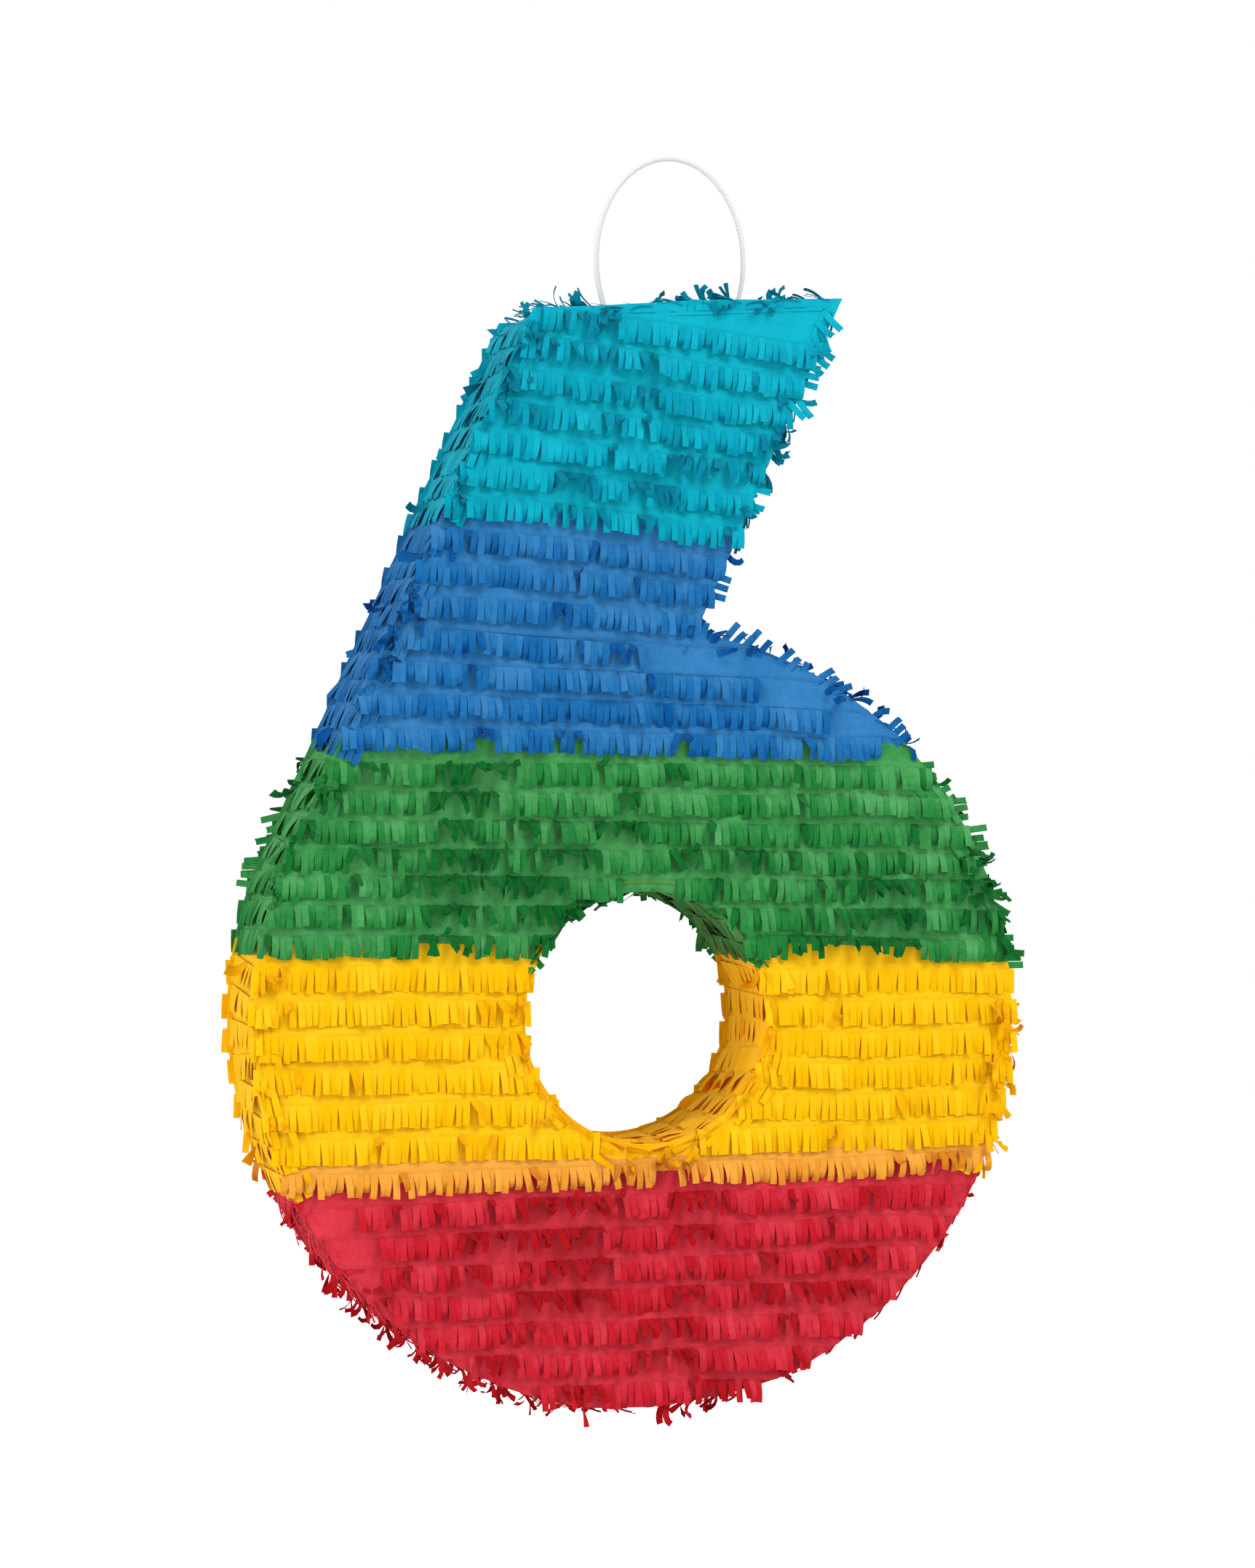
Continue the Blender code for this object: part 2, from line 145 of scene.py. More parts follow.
FOLD_LIFT, FOLD_LOOSE = 0.16, 0.2  # how the strands there stand, and how many more of them come loose
HOLE_LIP = 6 * MM  # how far the hole's paper is turned over
CREASE_ROW = 3.5 * MM  # how far above the crease the row that covers it is rooted
CREASE_GAP = 5 * MM  # how far below the crease the flap's own paper starts
NEAR_CREASE = 25 * MM  # rows this near lie flat, so that the open flap clears them
SLIT_CLEAR = 3.2 * MM  # how far the rows' ends stay clear of the flap's slits
OUTER_PITCH, HOLE_PITCH, TOP_PITCH, TUFT_PITCH = 14.2 * MM, 14.6 * MM, 15.2 * MM, 9 * MM
PASTE = 0.35 * MM  # how far the pasted paper lies off the card at least
ROOT = 0.45 * MM  # how far the strands are rooted off the card, besides their row's rise
STEP = 1.2 * MM  # how far below its cut line a row's paper meets the card again
SHEET = 0.2 * MM  # the thickness of pasted paper
SHEET_PAINTED_LIGHT = 0.74  # the pasted paper's tone with painted light: it is painted lighter than most strands, for the lamps' light on its flat face


def linear(hex_colour):
    """An sRGB hex colour as linear red, green and blue."""
    channels = [int(hex_colour[i : i + 2], 16) / 255 for i in (0, 2, 4)]
    return tuple(c / 12.92 if c <= 0.04045 else ((c + 0.055) / 1.055) ** 2.4 for c in channels)


def add_node(tree, kind, *values, out=0, **settings):
    """Adds a node, with its settings and with values or links for its inputs in order, and gives an
    output."""
    node = tree.nodes.new(kind)
    for name, value in settings.items():
        setattr(node, name, value)
    for socket, value in zip(node.inputs, values):
        if isinstance(value, bpy.types.NodeSocket):
            tree.links.new(value, socket)
        elif value is not None:
            socket.default_value = value
    return node.outputs[out] if node.outputs else node


# ---- Outlines and the rows along them ----


def upright(tilt):
    """The direction in the XZ plane that stands on a line tilted by an angle."""
    return Vector((-sin(tilt), 0, cos(tilt)))


def crossing(normal_a, distance_a, normal_b, distance_b):
    """The point where two lines meet, each given by its normal and its distance from the bowl's centre."""
    spread = normal_a.x * normal_b.z - normal_a.z * normal_b.x
    x = (distance_a * normal_b.z - distance_b * normal_a.z) / spread
    z = (normal_a.x * distance_b - normal_b.x * distance_a) / spread
    return Vector((x, 0, z))


def corners(inset):
    """The outline's four corners, at a depth of inset under the CAD's tissue."""
    left = BOWL_RADIUS - inset
    right = BOWL_RADIUS - STEM_WIDTH + inset
    top = TOP_NORMAL.dot(TOP_LEFT) - inset
    return {
        "bowl_left": LEFT_NORMAL * left,
        "top_left": crossing(LEFT_NORMAL, left, TOP_NORMAL, top),
        "top_right": crossing(LEFT_NORMAL, right, TOP_NORMAL, top),
        "notch": LEFT_NORMAL * right + UP_STEM * sqrt(left**2 - right**2),
    }


NOTCH = corners(0)["notch"]


def on_circle(centre, radius, angle):
    return centre + Vector((cos(angle), 0, sin(angle))) * radius


def arc(centre, radius, start, end, step=radians(1.5)):
    """Points along a circle from one angle to another."""
    count = max(2, round(abs(end - start) / step))
    return [on_circle(centre, radius, start + (end - start) * i / count) for i in range(count + 1)]


def wall_path(side, inset):
    """The outside wall from the top corner down to the bottom of the bowl, on the left or the right."""
    place = corners(inset)
    radius = BOWL_RADIUS - inset
    if side == "left":
        return [place["top_left"]] + arc(Vector(), radius, pi - STEM_LEAN, 1.5 * pi)
    notch = acos(place["notch"].x / radius)
    return [place["top_right"]] + arc(Vector(), radius, notch, -pi / 2)


def hole_path(side, inset):
    """The hole's wall from its top down to its bottom, on the left or the right."""
    return arc(HOLE_CENTRE, HOLE_RADIUS + inset, pi / 2, pi / 2 + (pi if side == "left" else -pi), radians(3))


def along_path(path, distance):
    """The place at a distance along a path, and the path's direction there."""
    for a, b in zip(path, path[1:]):
        length = (b - a).length
        if distance <= length or b is path[-1]:
            along = (b - a) / length
            return a + along * distance, along
        distance -= length


def path_length(path):
    return sum((b - a).length for a, b in zip(path, path[1:]))


def side_of(place):
    """Whether a point of the outline is on the left edge, or on the right edge or the top."""
    return "left" if place.x < TOP_LEFT.x + 8 * MM else "right"


def band_at(place):
    """The band that a point of the figure lies in."""
    for name, band in BANDS.items():
        if name == "red" or place.z > band.low + place.x * tan(radians(band.tilt)):
            return name


def covered_by(place):
    """The band whose paper lies on the walls at a point of the figure: it laps up under the band above."""
    return band_at(place - Vector((0, 0, LAP)))


def row_heights(band, settings):
    """For each row from the lowest: its height at the bowl's centre line, and its tilt. A row lies where its
    strands begin."""
    low = band.low + 0.96 * settings.reach
    high = band.top - settings.header
    found = []
    for i in range(band.rows):
        share = i / (band.rows - 1)
        height = low + (high - low) * share
        tilt = band.tilt + (band.top_tilt - band.tilt) * (height - band.low) / (band.top - band.low)
        found.append((height, radians(tilt)))
    return found


# ---- Meshes ----


def merged(node):
    """A copy of a CAD node's loose triangles, joined up."""
    solid = bmesh.new()
    solid.from_mesh(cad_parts[node].data)
    bmesh.ops.remove_doubles(solid, verts=solid.verts, dist=1e-6)
    return solid


def flat_face(node, side):
    """The outer flat face of a CAD tissue node on the front (-1) or the back (1), moved to the bowl's
    centre."""
    face = merged(node)
    face.normal_update()
    others = [f for f in face.faces if f.normal.y * side < 0.9]
    bmesh.ops.delete(face, geom=others, context="FACES")
    bmesh.ops.translate(face, verts=face.verts, vec=-BOWL_CENTRE)
    return face


def cut_face(face, place, normal, clear_above=False, clear_below=False):
    """Cuts a bmesh along a plane, and can take away what lies on one side of it."""
    geometry = face.verts[:] + face.edges[:] + face.faces[:]
    return bmesh.ops.bisect_plane(
        face, geom=geometry, plane_co=place, plane_no=normal, clear_outer=clear_above, clear_inner=clear_below
    )


def cut_line(face, height, tilt):
    """Where a slanted line crosses a flat face: a list of its stretches along x, left to right."""
    copy = face.copy()
    cut = cut_face(copy, (0, 0, height), upright(tilt))
    edges = [e for e in cut["geom_cut"] if isinstance(e, bmesh.types.BMEdge)]
    spans = sorted(sorted(v.co.x for v in e.verts) for e in edges)
    copy.free()
    joined = []
    for low, high in spans:
        if joined and low <= joined[-1][1] + 1e-5:
            joined[-1][1] = max(high, joined[-1][1])
        else:
            joined.append([low, high])
    return joined


def new_piece(name, mesh, slot, body, *replaced):
    """A finished piece: the body that it rides on and the CAD nodes that it stands for. Its finish slot is
    not used.
    """
    piece = bpy.data.objects.new(name, mesh)
    bpy.context.scene.collection.objects.link(piece)
    if body:
        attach(piece, body)
    if replaced:
        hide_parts(*replaced)
    return piece


Row = namedtuple("Row", "points down out lift loose reach")


def row_lines(rows, name):
    """The rows as chains of loose edges, whose points carry the way that the strands hang, the way out of the
    surface and how the strands stand."""
    mesh = bpy.data.meshes.new(name)
    owners = [row for row in rows for _ in row.points]
    points = [BOWL_CENTRE + point for row in rows for point in row.points]
    edges = [(i, i + 1) for i in range(len(points) - 1) if owners[i] is owners[i + 1]]
    mesh.from_pydata(points, edges, [])
    for field in ("down", "out"):
        made = mesh.attributes.new(field, "FLOAT_VECTOR", "POINT")
        made.data.foreach_set("vector", [c for row in owners for c in getattr(row, field)])
    for field in ("lift", "loose", "reach"):
        made = mesh.attributes.new(field, "FLOAT", "POINT")
        made.data.foreach_set("value", [getattr(row, field) for row in owners])
    return mesh


FRINGE_INPUTS = {
    "Rows": "NodeSocketGeometry",
    "Strand width": "NodeSocketFloat",
    "Paper": "NodeSocketFloat",
    "Curl": "NodeSocketFloat",
    "Lean": "NodeSocketFloat",
    "Seed": "NodeSocketInt",
    "Finish": "NodeSocketMaterial",
}


def fringe_tree():
    """Sets thin bent strands along rows. Strand width is also their spacing, and Paper is their thickness."""
    tree = bpy.data.node_groups.new("cut_fringe", "GeometryNodeTree")
    for name, kind in FRINGE_INPUTS.items():
        tree.interface.new_socket(name, in_out="INPUT", socket_type=kind)
    tree.interface.new_socket("Fringe", in_out="OUTPUT", socket_type="NodeSocketGeometry")
    given = tree.nodes.new("NodeGroupInput").outputs

    def n(kind, *values, out=0, **settings):
        return add_node(tree, kind, *values, out=out, **settings)

    def chance(low, high, seed):
        """A number for each strand, even between two limits."""
        number = n(MATH, given["Seed"], seed, operation="ADD")
        return n(RANDOM, None, None, low, high, None, None, None, None, number, out=1, data_type="FLOAT")

    # The points that strands are rooted at, with what each strand needs to know.
    curve = n("GeometryNodeMeshToCurve", given["Rows"])
    curve = n("GeometryNodeResampleCurve", curve, None, None, given["Strand width"], mode="LENGTH")
    to_points = tree.nodes.new("GeometryNodeCurveToPoints")
    to_points.mode = "EVALUATED"
    tree.links.new(curve, to_points.inputs["Curve"])
    points = to_points.outputs["Points"]
    place = n("GeometryNodeInputPosition")

    # Strands stand and sway together in patches, and come loose in bunches.
    patches = {}
    for name, offset, scale in (("clump", (0, 0, 0), 45.0), ("sway", (1.3, 0.7, 2.1), 60.0)):
        patch = n(VECTOR, place, offset, operation="ADD")
        patch = n("ShaderNodeTexNoise", patch, None, scale, 2.0, noise_dimensions="3D")
        patches[name] = n(MATH, patch, 0.5, operation="SUBTRACT")
    clump, sway = patches["clump"], patches["sway"]
    lift, loose, reach = (n(READ, name, data_type="FLOAT") for name in ("lift", "loose", "reach"))
    bunch = n(VECTOR, place, (5.1, 2.2, 3.4), operation="ADD")
    bunch = n("ShaderNodeTexNoise", bunch, None, 27.0, 1.0, noise_dimensions="3D")
    bunch = n("ShaderNodeMapRange", bunch, 0.48, 0.66, 0.12, 4.5)
    loose = n(MATH, loose, bunch, operation="MULTIPLY")
    is_loose = n(MATH, chance(0.0, 1.0, 11), loose, operation="LESS_THAN")

    # A loose strand lifts, curls, leans and twists far more than the others, and is painted darker: painted
    # shade for its crumpled folds.
    lift = n(MATH, clump, 1.2, lift, operation="MULTIPLY_ADD")
    lift = n(MATH, lift, chance(-0.10, 0.12, 1), operation="ADD")
    lift = n(MATH, chance(0.1, 0.8, 2), is_loose, lift, operation="MULTIPLY_ADD")
    lift = n(MATH, lift, 0.02, operation="MAXIMUM")
    curl = n(MATH, given["Curl"], chance(0.2, 1.6, 3), operation="MULTIPLY")
    curl = n(MATH, chance(-1.2, 3.0, 4), is_loose, curl, operation="MULTIPLY_ADD")
    lean = n(MATH, given["Lean"], chance(-1.0, 1.0, 5), operation="MULTIPLY")
    lean = n(MATH, sway, 0.45, lean, operation="MULTIPLY_ADD")
    lean = n(MATH, chance(-0.5, 0.5, 6), is_loose, lean, operation="MULTIPLY_ADD")
    reach = n(MATH, reach, chance(0.94, 1.04, 7), operation="MULTIPLY")
    twist = n(MATH, is_loose, 5.0, 1.0, operation="MULTIPLY_ADD")
    twist = n(MATH, chance(-0.25, 0.25, 8), twist, operation="MULTIPLY")
    # Painted shade: a loose, crumpled strand's tone is darkened for the shade in its folds.
    painted_loose_shade = n(MATH, is_loose, -0.55, 1.0, operation="MULTIPLY_ADD")
    tint = n(MATH, clump, 0.7, chance(0.52, 0.86, 10), operation="MULTIPLY_ADD")
    tint = n(MATH, tint, painted_loose_shade, operation="MULTIPLY")
    stored = {
        "root": ("FLOAT_VECTOR", place),
        "across": ("FLOAT_VECTOR", to_points.outputs["Tangent"]),
        "raised": ("FLOAT", lift),
        "curl": ("FLOAT", curl),
        "lean": ("FLOAT", lean),
        "long": ("FLOAT", reach),
        "twist": ("FLOAT", twist),
        "cup": ("FLOAT", chance(-0.10, 0.16, 9)),
        "tint": ("FLOAT", tint),
    }
    for name, (kind, value) in stored.items():
        points = n(STORE, points, None, name, value, data_type=kind, domain="POINT")

    # One strand: a thin sheet, smooth on its two faces and crisp at its edges.
    sheet = n("GeometryNodeMeshCube", (1.0, 1.0, 1.0), 3, 6, 2)
    facing = n(VECTOR, n("GeometryNodeInputNormal"), (0.0, 0.0, 1.0), out=1, operation="DOT_PRODUCT")
    facing = n(MATH, n(MATH, facing, operation="ABSOLUTE"), 0.5, operation="GREATER_THAN")
    sheet = n("GeometryNodeSetShadeSmooth", sheet, None, facing)
    sheet = n(STORE, sheet, None, "strand", place, data_type="FLOAT_VECTOR", domain="POINT")
    strands = n("GeometryNodeInstanceOnPoints", points, None, sheet)
    strands = n("GeometryNodeRealizeInstances", strands)

    # What each point of a strand knows: its place on the strand, and all that is the whole strand's.
    kinds = {"strand": "FLOAT_VECTOR", "down": "FLOAT_VECTOR", "out": "FLOAT_VECTOR"}
    kinds.update((name, kind) for name, (kind, _) in stored.items())
    own = {name: n(READ, name, data_type=kind) for name, kind in kinds.items()}

    # The bend: straight for the first third of its length, then along an arc.
    split = tree.nodes.new("ShaderNodeSeparateXYZ")
    tree.links.new(own["strand"], split.inputs[0])
    u, w = split.outputs["X"], split.outputs["Z"]
    v = n(MATH, 0.5, split.outputs["Y"], operation="SUBTRACT")
    straight = 0.34
    bent = 1 - straight
    v_straight = n(MATH, v, straight, operation="MINIMUM")
    v_bent = n(MATH, n(MATH, v, straight, operation="SUBTRACT"), 0.0, operation="MAXIMUM")
    curl = n(MATH, own["curl"], 0.0013, operation="ADD")  # a curl of nothing would have no radius
    turned = n(MATH, v_bent, bent, operation="DIVIDE")
    turned = n(MATH, curl, turned, own["raised"], operation="MULTIPLY_ADD")
    radius = n(MATH, bent, curl, operation="DIVIDE")
    sine, cosine = (n(MATH, turned, operation=kind) for kind in ("SINE", "COSINE"))
    sine_0, cosine_0 = (n(MATH, own["raised"], operation=kind) for kind in ("SINE", "COSINE"))
    hang = n(MATH, n(MATH, sine, sine_0, operation="SUBTRACT"), radius, operation="MULTIPLY")
    hang = n(MATH, v_straight, cosine_0, hang, operation="MULTIPLY_ADD")
    stand = n(MATH, n(MATH, cosine_0, cosine, operation="SUBTRACT"), radius, operation="MULTIPLY")
    stand = n(MATH, v_straight, sine_0, stand, operation="MULTIPLY_ADD")
    hang, stand = (n(MATH, distance, own["long"], operation="MULTIPLY") for distance in (hang, stand))

    def turn(first, second, angle):
        """Two directions at right angles, turned by an angle from the first one towards the second."""
        sine, cosine = (n(MATH, angle, operation=kind) for kind in ("SINE", "COSINE"))
        found = []
        for a, b, mix in ((first, second, "ADD"), (second, first, "SUBTRACT")):
            a = n(VECTOR, a, None, None, cosine, operation="SCALE")
            b = n(VECTOR, b, None, None, sine, operation="SCALE")
            found.append(n(VECTOR, a, b, operation=mix))
        return found

    # The strand's own directions, leaning sideways and twisting towards its tip.
    along, wide = turn(own["down"], own["across"], own["lean"])
    facing = turn(along, own["out"], turned)[1]
    wide, facing = turn(wide, facing, n(MATH, own["twist"], v, operation="MULTIPLY"))

    # Where each point of the strand goes.
    taper = n(MATH, v, -0.05, 1.03, operation="MULTIPLY_ADD")
    width = n(MATH, given["Strand width"], n(MATH, u, taper, operation="MULTIPLY"), operation="MULTIPLY")
    bow = n(MATH, n(MATH, u, u, operation="MULTIPLY"), -4.0, 1.0, operation="MULTIPLY_ADD")
    bow = n(MATH, bow, own["cup"], operation="MULTIPLY")
    bow = n(MATH, bow, n(MATH, v, given["Strand width"], operation="MULTIPLY"), operation="MULTIPLY")
    depth = n(MATH, w, given["Paper"], bow, operation="MULTIPLY_ADD")
    final = own["root"]
    for way, distance in ((along, hang), (own["out"], stand), (wide, width), (facing, depth)):
        final = n(VECTOR, final, n(VECTOR, way, None, None, distance, operation="SCALE"), operation="ADD")
    strands = n("GeometryNodeSetPosition", strands, None, final)
    # Painted shade: each strand's tone darkens towards its tip, where it curls under and turns away from the
    # lamps.
    tint = n(MATH, v, -0.24, own["tint"], operation="MULTIPLY_ADD")
    strands = n(STORE, strands, None, "tint", tint, data_type="FLOAT", domain="POINT")
    strands = n("GeometryNodeSetMaterial", strands, None, given["Finish"])
    for name in [*stored, "down", "out", "lift", "loose", "reach"]:
        if name != "tint":
            strands = n("GeometryNodeRemoveAttribute", strands, None, name)
    result = tree.nodes.new("NodeGroupOutput")
    tree.links.new(strands, result.inputs[0])
    return tree


def fringe_mesh(name, rows, settings, curl, finish, seed, wide=1.0, stray=1.0):
    """The rows' strands as one plain mesh. Strands that stay stuck together are several times as wide, and
    stray multiplies how far they lean."""
    tree = bpy.data.node_groups.get("cut_fringe") or fringe_tree()
    lines = bpy.data.objects.new(name + "_rows", row_lines(rows, name + "_rows"))
    bpy.context.scene.collection.objects.link(lines)
    step = lines.modifiers.new("fringe", "NODES")
    step.node_group = tree
    values = {
        "Strand width": settings.strand_width * wide,
        "Paper": settings.paper,
        "Curl": curl,
        "Lean": settings.lean * stray,
        "Seed": seed,
        "Finish": finish,
    }
    for socket in tree.interface.items_tree:
        if socket.in_out == "INPUT" and socket.name in values:
            step[socket.identifier] = values[socket.name]
    bpy.context.view_layer.update()
    graph = bpy.context.evaluated_depsgraph_get()
    made = lines.evaluated_get(graph)
    mesh = bpy.data.meshes.new_from_object(made, preserve_all_data_layers=True, depsgraph=graph)
    mesh.name = name
    lines.modifiers.remove(step)
    bpy.data.objects.remove(lines)
    return mesh


def shingle(above_roots, settings):
    """How far the pasted paper stands off the card, from a point's heights above the rows round it: most at a
    row's cut line, less up to the tips that hang over it, and none under the strands."""
    rise = 0.0
    for above in above_roots:
        if -STEP < above < 0:
            rise = max(rise, 1 + above / STEP)
        elif 0 <= above < 1.6 * settings.header:
            rise = max(rise, (1 - above / (1.6 * settings.header)) ** 1.4)
    return rise * settings.rise


def ripple(point, size, amount):
    """Small waves of badly smoothed paper."""
    return noise.noise(point / size) * amount


def thickened(sheet, thickness):
    """Closes an open sheet into a solid by adding its underside."""
    sheet.normal_update()
    extruded = bmesh.ops.extrude_face_region(sheet, geom=sheet.faces[:], use_keep_orig=True)
    for v in [v for v in extruded["geom"] if isinstance(v, bmesh.types.BMVert)]:
        v.co -= v.normal * thickness
    bmesh.ops.recalc_face_normals(sheet, faces=sheet.faces)


def paper_mesh(name, face, finish, smooth=True):
    """A bmesh sheet as a mesh whose points carry the same attributes as the strands do."""
    mesh = bpy.data.meshes.new(name)
    face.to_mesh(mesh)
    face.free()
    mesh.materials.append(finish)
    # Painted light: the pasted paper gets a lighter tone than most strands, for the lamps' light on its flat
    # face.
    tint = mesh.attributes.new("tint", "FLOAT", "POINT")
    tint.data.foreach_set("value", [SHEET_PAINTED_LIGHT] * len(mesh.vertices))
    if smooth:
        mesh.shade_smooth()
        mesh.set_sharp_from_angle(angle=radians(50))
    return mesh


def waver(point):
    """How far a hand-pasted row strays up or down at a point of a flat face."""
    return noise.noise(Vector((point.x * 13, 0, point.z * 37))) * 1.7 * MM


def lapped_face(label, side, name):
    """The flat area that one band's paper covers: it starts under the lowest strands of the band above."""
    names = list(BANDS)
    face = flat_face(f"{label}_fringe_{name}", side)
    if name != names[0]:
        above = names[names.index(name) - 1]
        seam = BANDS[above]
        normal = upright(radians(seam.tilt))
        upper = flat_face(f"{label}_fringe_{above}", side)
        extra = bpy.data.meshes.new("extra")
        upper.to_mesh(extra)
        upper.free()
        face.from_mesh(extra)
        bpy.data.meshes.remove(extra)
        for v in face.verts:
            gap = (v.co - Vector((0, 0, seam.low))).dot(normal)
            if abs(gap) < 0.3 * MM:
                v.co -= normal * gap
        bmesh.ops.remove_doubles(face, verts=face.verts, dist=0.3 * MM)
        cut_face(face, (0, 0, seam.low + LAP), normal, clear_above=True)
    if name != names[-1]:
        band = BANDS[name]
        cut_face(face, (0, 0, band.low + LAP), upright(radians(band.tilt)), clear_below=True)
    return face


def face_sheet(name, face, side, heights, finish, settings, straying=True, last=None):
    """The pasted paper under one band's strands on a flat face, rippled and stepped at each row. The header
    of the lowest row can have a finish of its own."""
    low = min(v.co.x for v in face.verts)
    high = max(v.co.x for v in face.verts)
    step = 5 * MM
    for i in range(int(low / step), int(high / step) + 1):
        cut_face(face, (i * step, 0, 0), (1, 0, 0))
    for height, tilt in heights:
        for offset in (-STEP, 0, 0.8 * settings.header, 1.6 * settings.header):
            cut_face(face, (0, 0, height + offset), upright(tilt))
    lowest, tilt = heights[0]
    for f in face.faces:
        middle = f.calc_center_median()
        above = middle.z - lowest - middle.x * tan(tilt)
        f.material_index = int(bool(last) and -STEP < above < 1.6 * settings.header)
    for v in face.verts:
        rise = shingle([v.co.z - h - v.co.x * tan(t) for h, t in heights], settings)
        wave = 0.25 * MM + abs(ripple(v.co, 14 * MM, 0.7 * MM))
        v.co += Vector((0, 0, waver(v.co) if straying else 0))
        v.co.y = side * (CARD_Y + PASTE + rise + wave)
    thickened(face, SHEET)
    bmesh.ops.translate(face, verts=face.verts, vec=BOWL_CENTRE)
    mesh = paper_mesh(name, face, finish)
    if last:
        mesh.materials.append(last)
    return mesh


def trimmed(point, name):
    """The end of a row on a flat face, drawn back from the bowl's edge where the paper there is left
    plain."""
    edge = PLAIN_EDGE.get((name, side_of(point)), 0.0)
    if not edge or point.z > NOTCH.z or abs(hypot(point.x, point.z) - BOWL_RADIUS) > 6 * MM:
        return point
    edge *= min(1, max(0.25, (point.z + BOWL_RADIUS) / (95 * MM))) * (0.8 + 0.6 * noise.noise(point * 60))
    across = sqrt(max(0.0, (BOWL_RADIUS - edge) ** 2 - point.z**2))
    return Vector((across if point.x > 0 else -across, point.y, point.z))


def overlap(spans, others):
    """The stretches that two lists of stretches have in common, along x."""
    for low, high in spans:
        for other_low, other_high in others:
            start, end = max(low, other_low), min(high, other_high)
            if end > start:
                yield start, end


def face_rows(node, side, name, band, heights, settings, straying=True):
    """The rows of strands on one flat face of one band. A row ends where its tips would hang off the face,
    and stays clear of the flap's slits."""
    face = flat_face(node, side)
    out = Vector((0, side, 0))
    level = out * (CARD_Y + ROOT + settings.rise)
    slits = [FLAP_LOW.x - BOWL_CENTRE.x, FLAP_HIGH.x - BOWL_CENTRE.x] if not straying else []
    rows = []
    for index, (height, tilt) in enumerate(heights):
        down = Vector((sin(tilt), 0, -cos(tilt)))
        here = cut_line(face, height, tilt)
        kept_on = 0.3 if index == 0 else 0.7 if straying else 1.0
        lowest = height - kept_on * settings.reach
        below = cut_line(face, max(lowest, band.low + 1 * MM), tilt)
        for low, high in overlap(here, below):
            clear = [any(abs(x - slit) < 1 * MM for slit in slits) for x in (low, high)]
            low += SLIT_CLEAR if clear[0] else -1 * MM
            high -= SLIT_CLEAR if clear[1] else -1 * MM
            ends = [Vector((x, 0, height + x * tan(tilt))) for x in (low, high)]
            start, end = (trimmed(point, name) for point in ends)
            if end.x - start.x < 3 * settings.strand_width:
                continue
            count = max(1, round((end - start).length / (8 * MM)))
            points = [start.lerp(end, i / count) for i in range(count + 1)]
            points = [p + level + Vector((0, 0, waver(p) if straying else 0)) for p in points]
            by_crease = slits and abs(height + BOWL_CENTRE.z - CREASE) < NEAR_CREASE
            lift, loose = (0.3, 0.0) if by_crease else (band.lift, band.loose)
            rows.append(Row(points, down, out, lift, loose, settings.reach))
    face.free()
    return rows


def wall_rows(side, path, name, pitch, settings, lift, loose, fold=0.0):
    """The rows of strands across one wall where it crosses one band, from the band's lower end up. Each strip
    is folded over both edges of the wall, and its strands there lie on the flat faces."""
    length = path_length(path)
    inside = [d * MM for d in range(int(length / MM)) if band_at(along_path(path, d * MM)[0]) == name]
    if not inside:
        return []
    turn = 1 if side == "left" else -1
    rows = []
    lowest = max(inside) - settings.reach + 1 * MM
    span = lowest - min(inside) - settings.header
    count = max(1, round(span / pitch))
    for index in range(count + 1):
        root = max(min(inside) + 1 * MM, lowest - span * index / count)
        place, along = along_path(path, root)
        out = Vector((along.z, 0, -along.x)) * turn
        skew = along * noise.noise(place * 40) * 6 * MM
        level = place + out * (ROOT + settings.rise)
        across = Vector((0, CARD_Y, 0))
        raised = lift + max(0.0, -out.z) ** 2 * 0.3
        ends = [level - across - skew, level + across + skew]
        rows.append(Row(ends, along, out, raised, loose, settings.reach))
        for y in (-1, 1) if fold else ():
            away = Vector((0, y, 0))
            corner = place + skew * y + away * (CARD_Y + 1.4 * MM)
            ends = [corner + out * 1 * MM, corner - out * fold]
            rows.append(Row(ends, along, away, FOLD_LIFT, loose + FOLD_LOOSE, settings.reach))
    return rows


def tufts(side, path, name, settings, share, size, seed):
    """Loose strands that stick out past the front and back edges of one wall where it crosses one band."""
    dice = Random(seed)
    turn = 1 if side == "left" else -1
    rows = []
    for i in range(1, int(path_length(path) / TUFT_PITCH)):
        place, along = along_path(path, i * TUFT_PITCH + dice.uniform(-3, 3) * MM)
        out = Vector((along.z, 0, -along.x)) * turn
        for y in (-1, 1):
            spread = dice.uniform(0.5, 1.1), dice.uniform(-0.1, 0.9)
            half = settings.strand_width * dice.uniform(0.4, 1.5)
            reach = size * dice.uniform(0.7, 1.1)
            if dice.random() > share or band_at(place) != name:
                continue
            down = (out * spread[0] + along * spread[1]).normalized()
            tip = down.cross(Vector((0, 1, 0)))
            root = place + Vector((0, y * (CARD_Y + 1 * MM), 0)) - out * 2 * MM
            ends = [root - tip * half, root + tip * half]
            rows.append(Row(ends, down, Vector((0, y, 0)), 0.1, 0.4, reach))
    return rows


def top_rows(settings):
    """The rows across the top wall, whose strands point left. They part where the cord comes through."""
    start, end = corners(SKIN)["top_left"], corners(SKIN)["top_right"]
    rows = []
    reach = settings.reach
    distance = 13 * MM
    while distance < (end - start).length:
        place = start + ALONG_TOP * distance + TOP_NORMAL * (ROOT + settings.rise)
        spans = [(-CARD_Y, CARD_Y)]
        for foot in (-FOOT_X - BOWL_CENTRE.x, FOOT_X - BOWL_CENTRE.x):
            if place.x - reach - 4 * MM < foot < place.x + 4 * MM:
                spans = [(-CARD_Y, -7 * MM), (7 * MM, CARD_Y)]
        for low, high in spans:
            ends = [place + Vector((0, y, 0)) for y in (low, high)]
            lift, loose = (0.15, 0.0) if len(spans) > 1 else (0.4, 0.2)
            rows.append(Row(ends, -ALONG_TOP, TOP_NORMAL, lift, loose, reach))
        distance += TOP_PITCH
    return rows


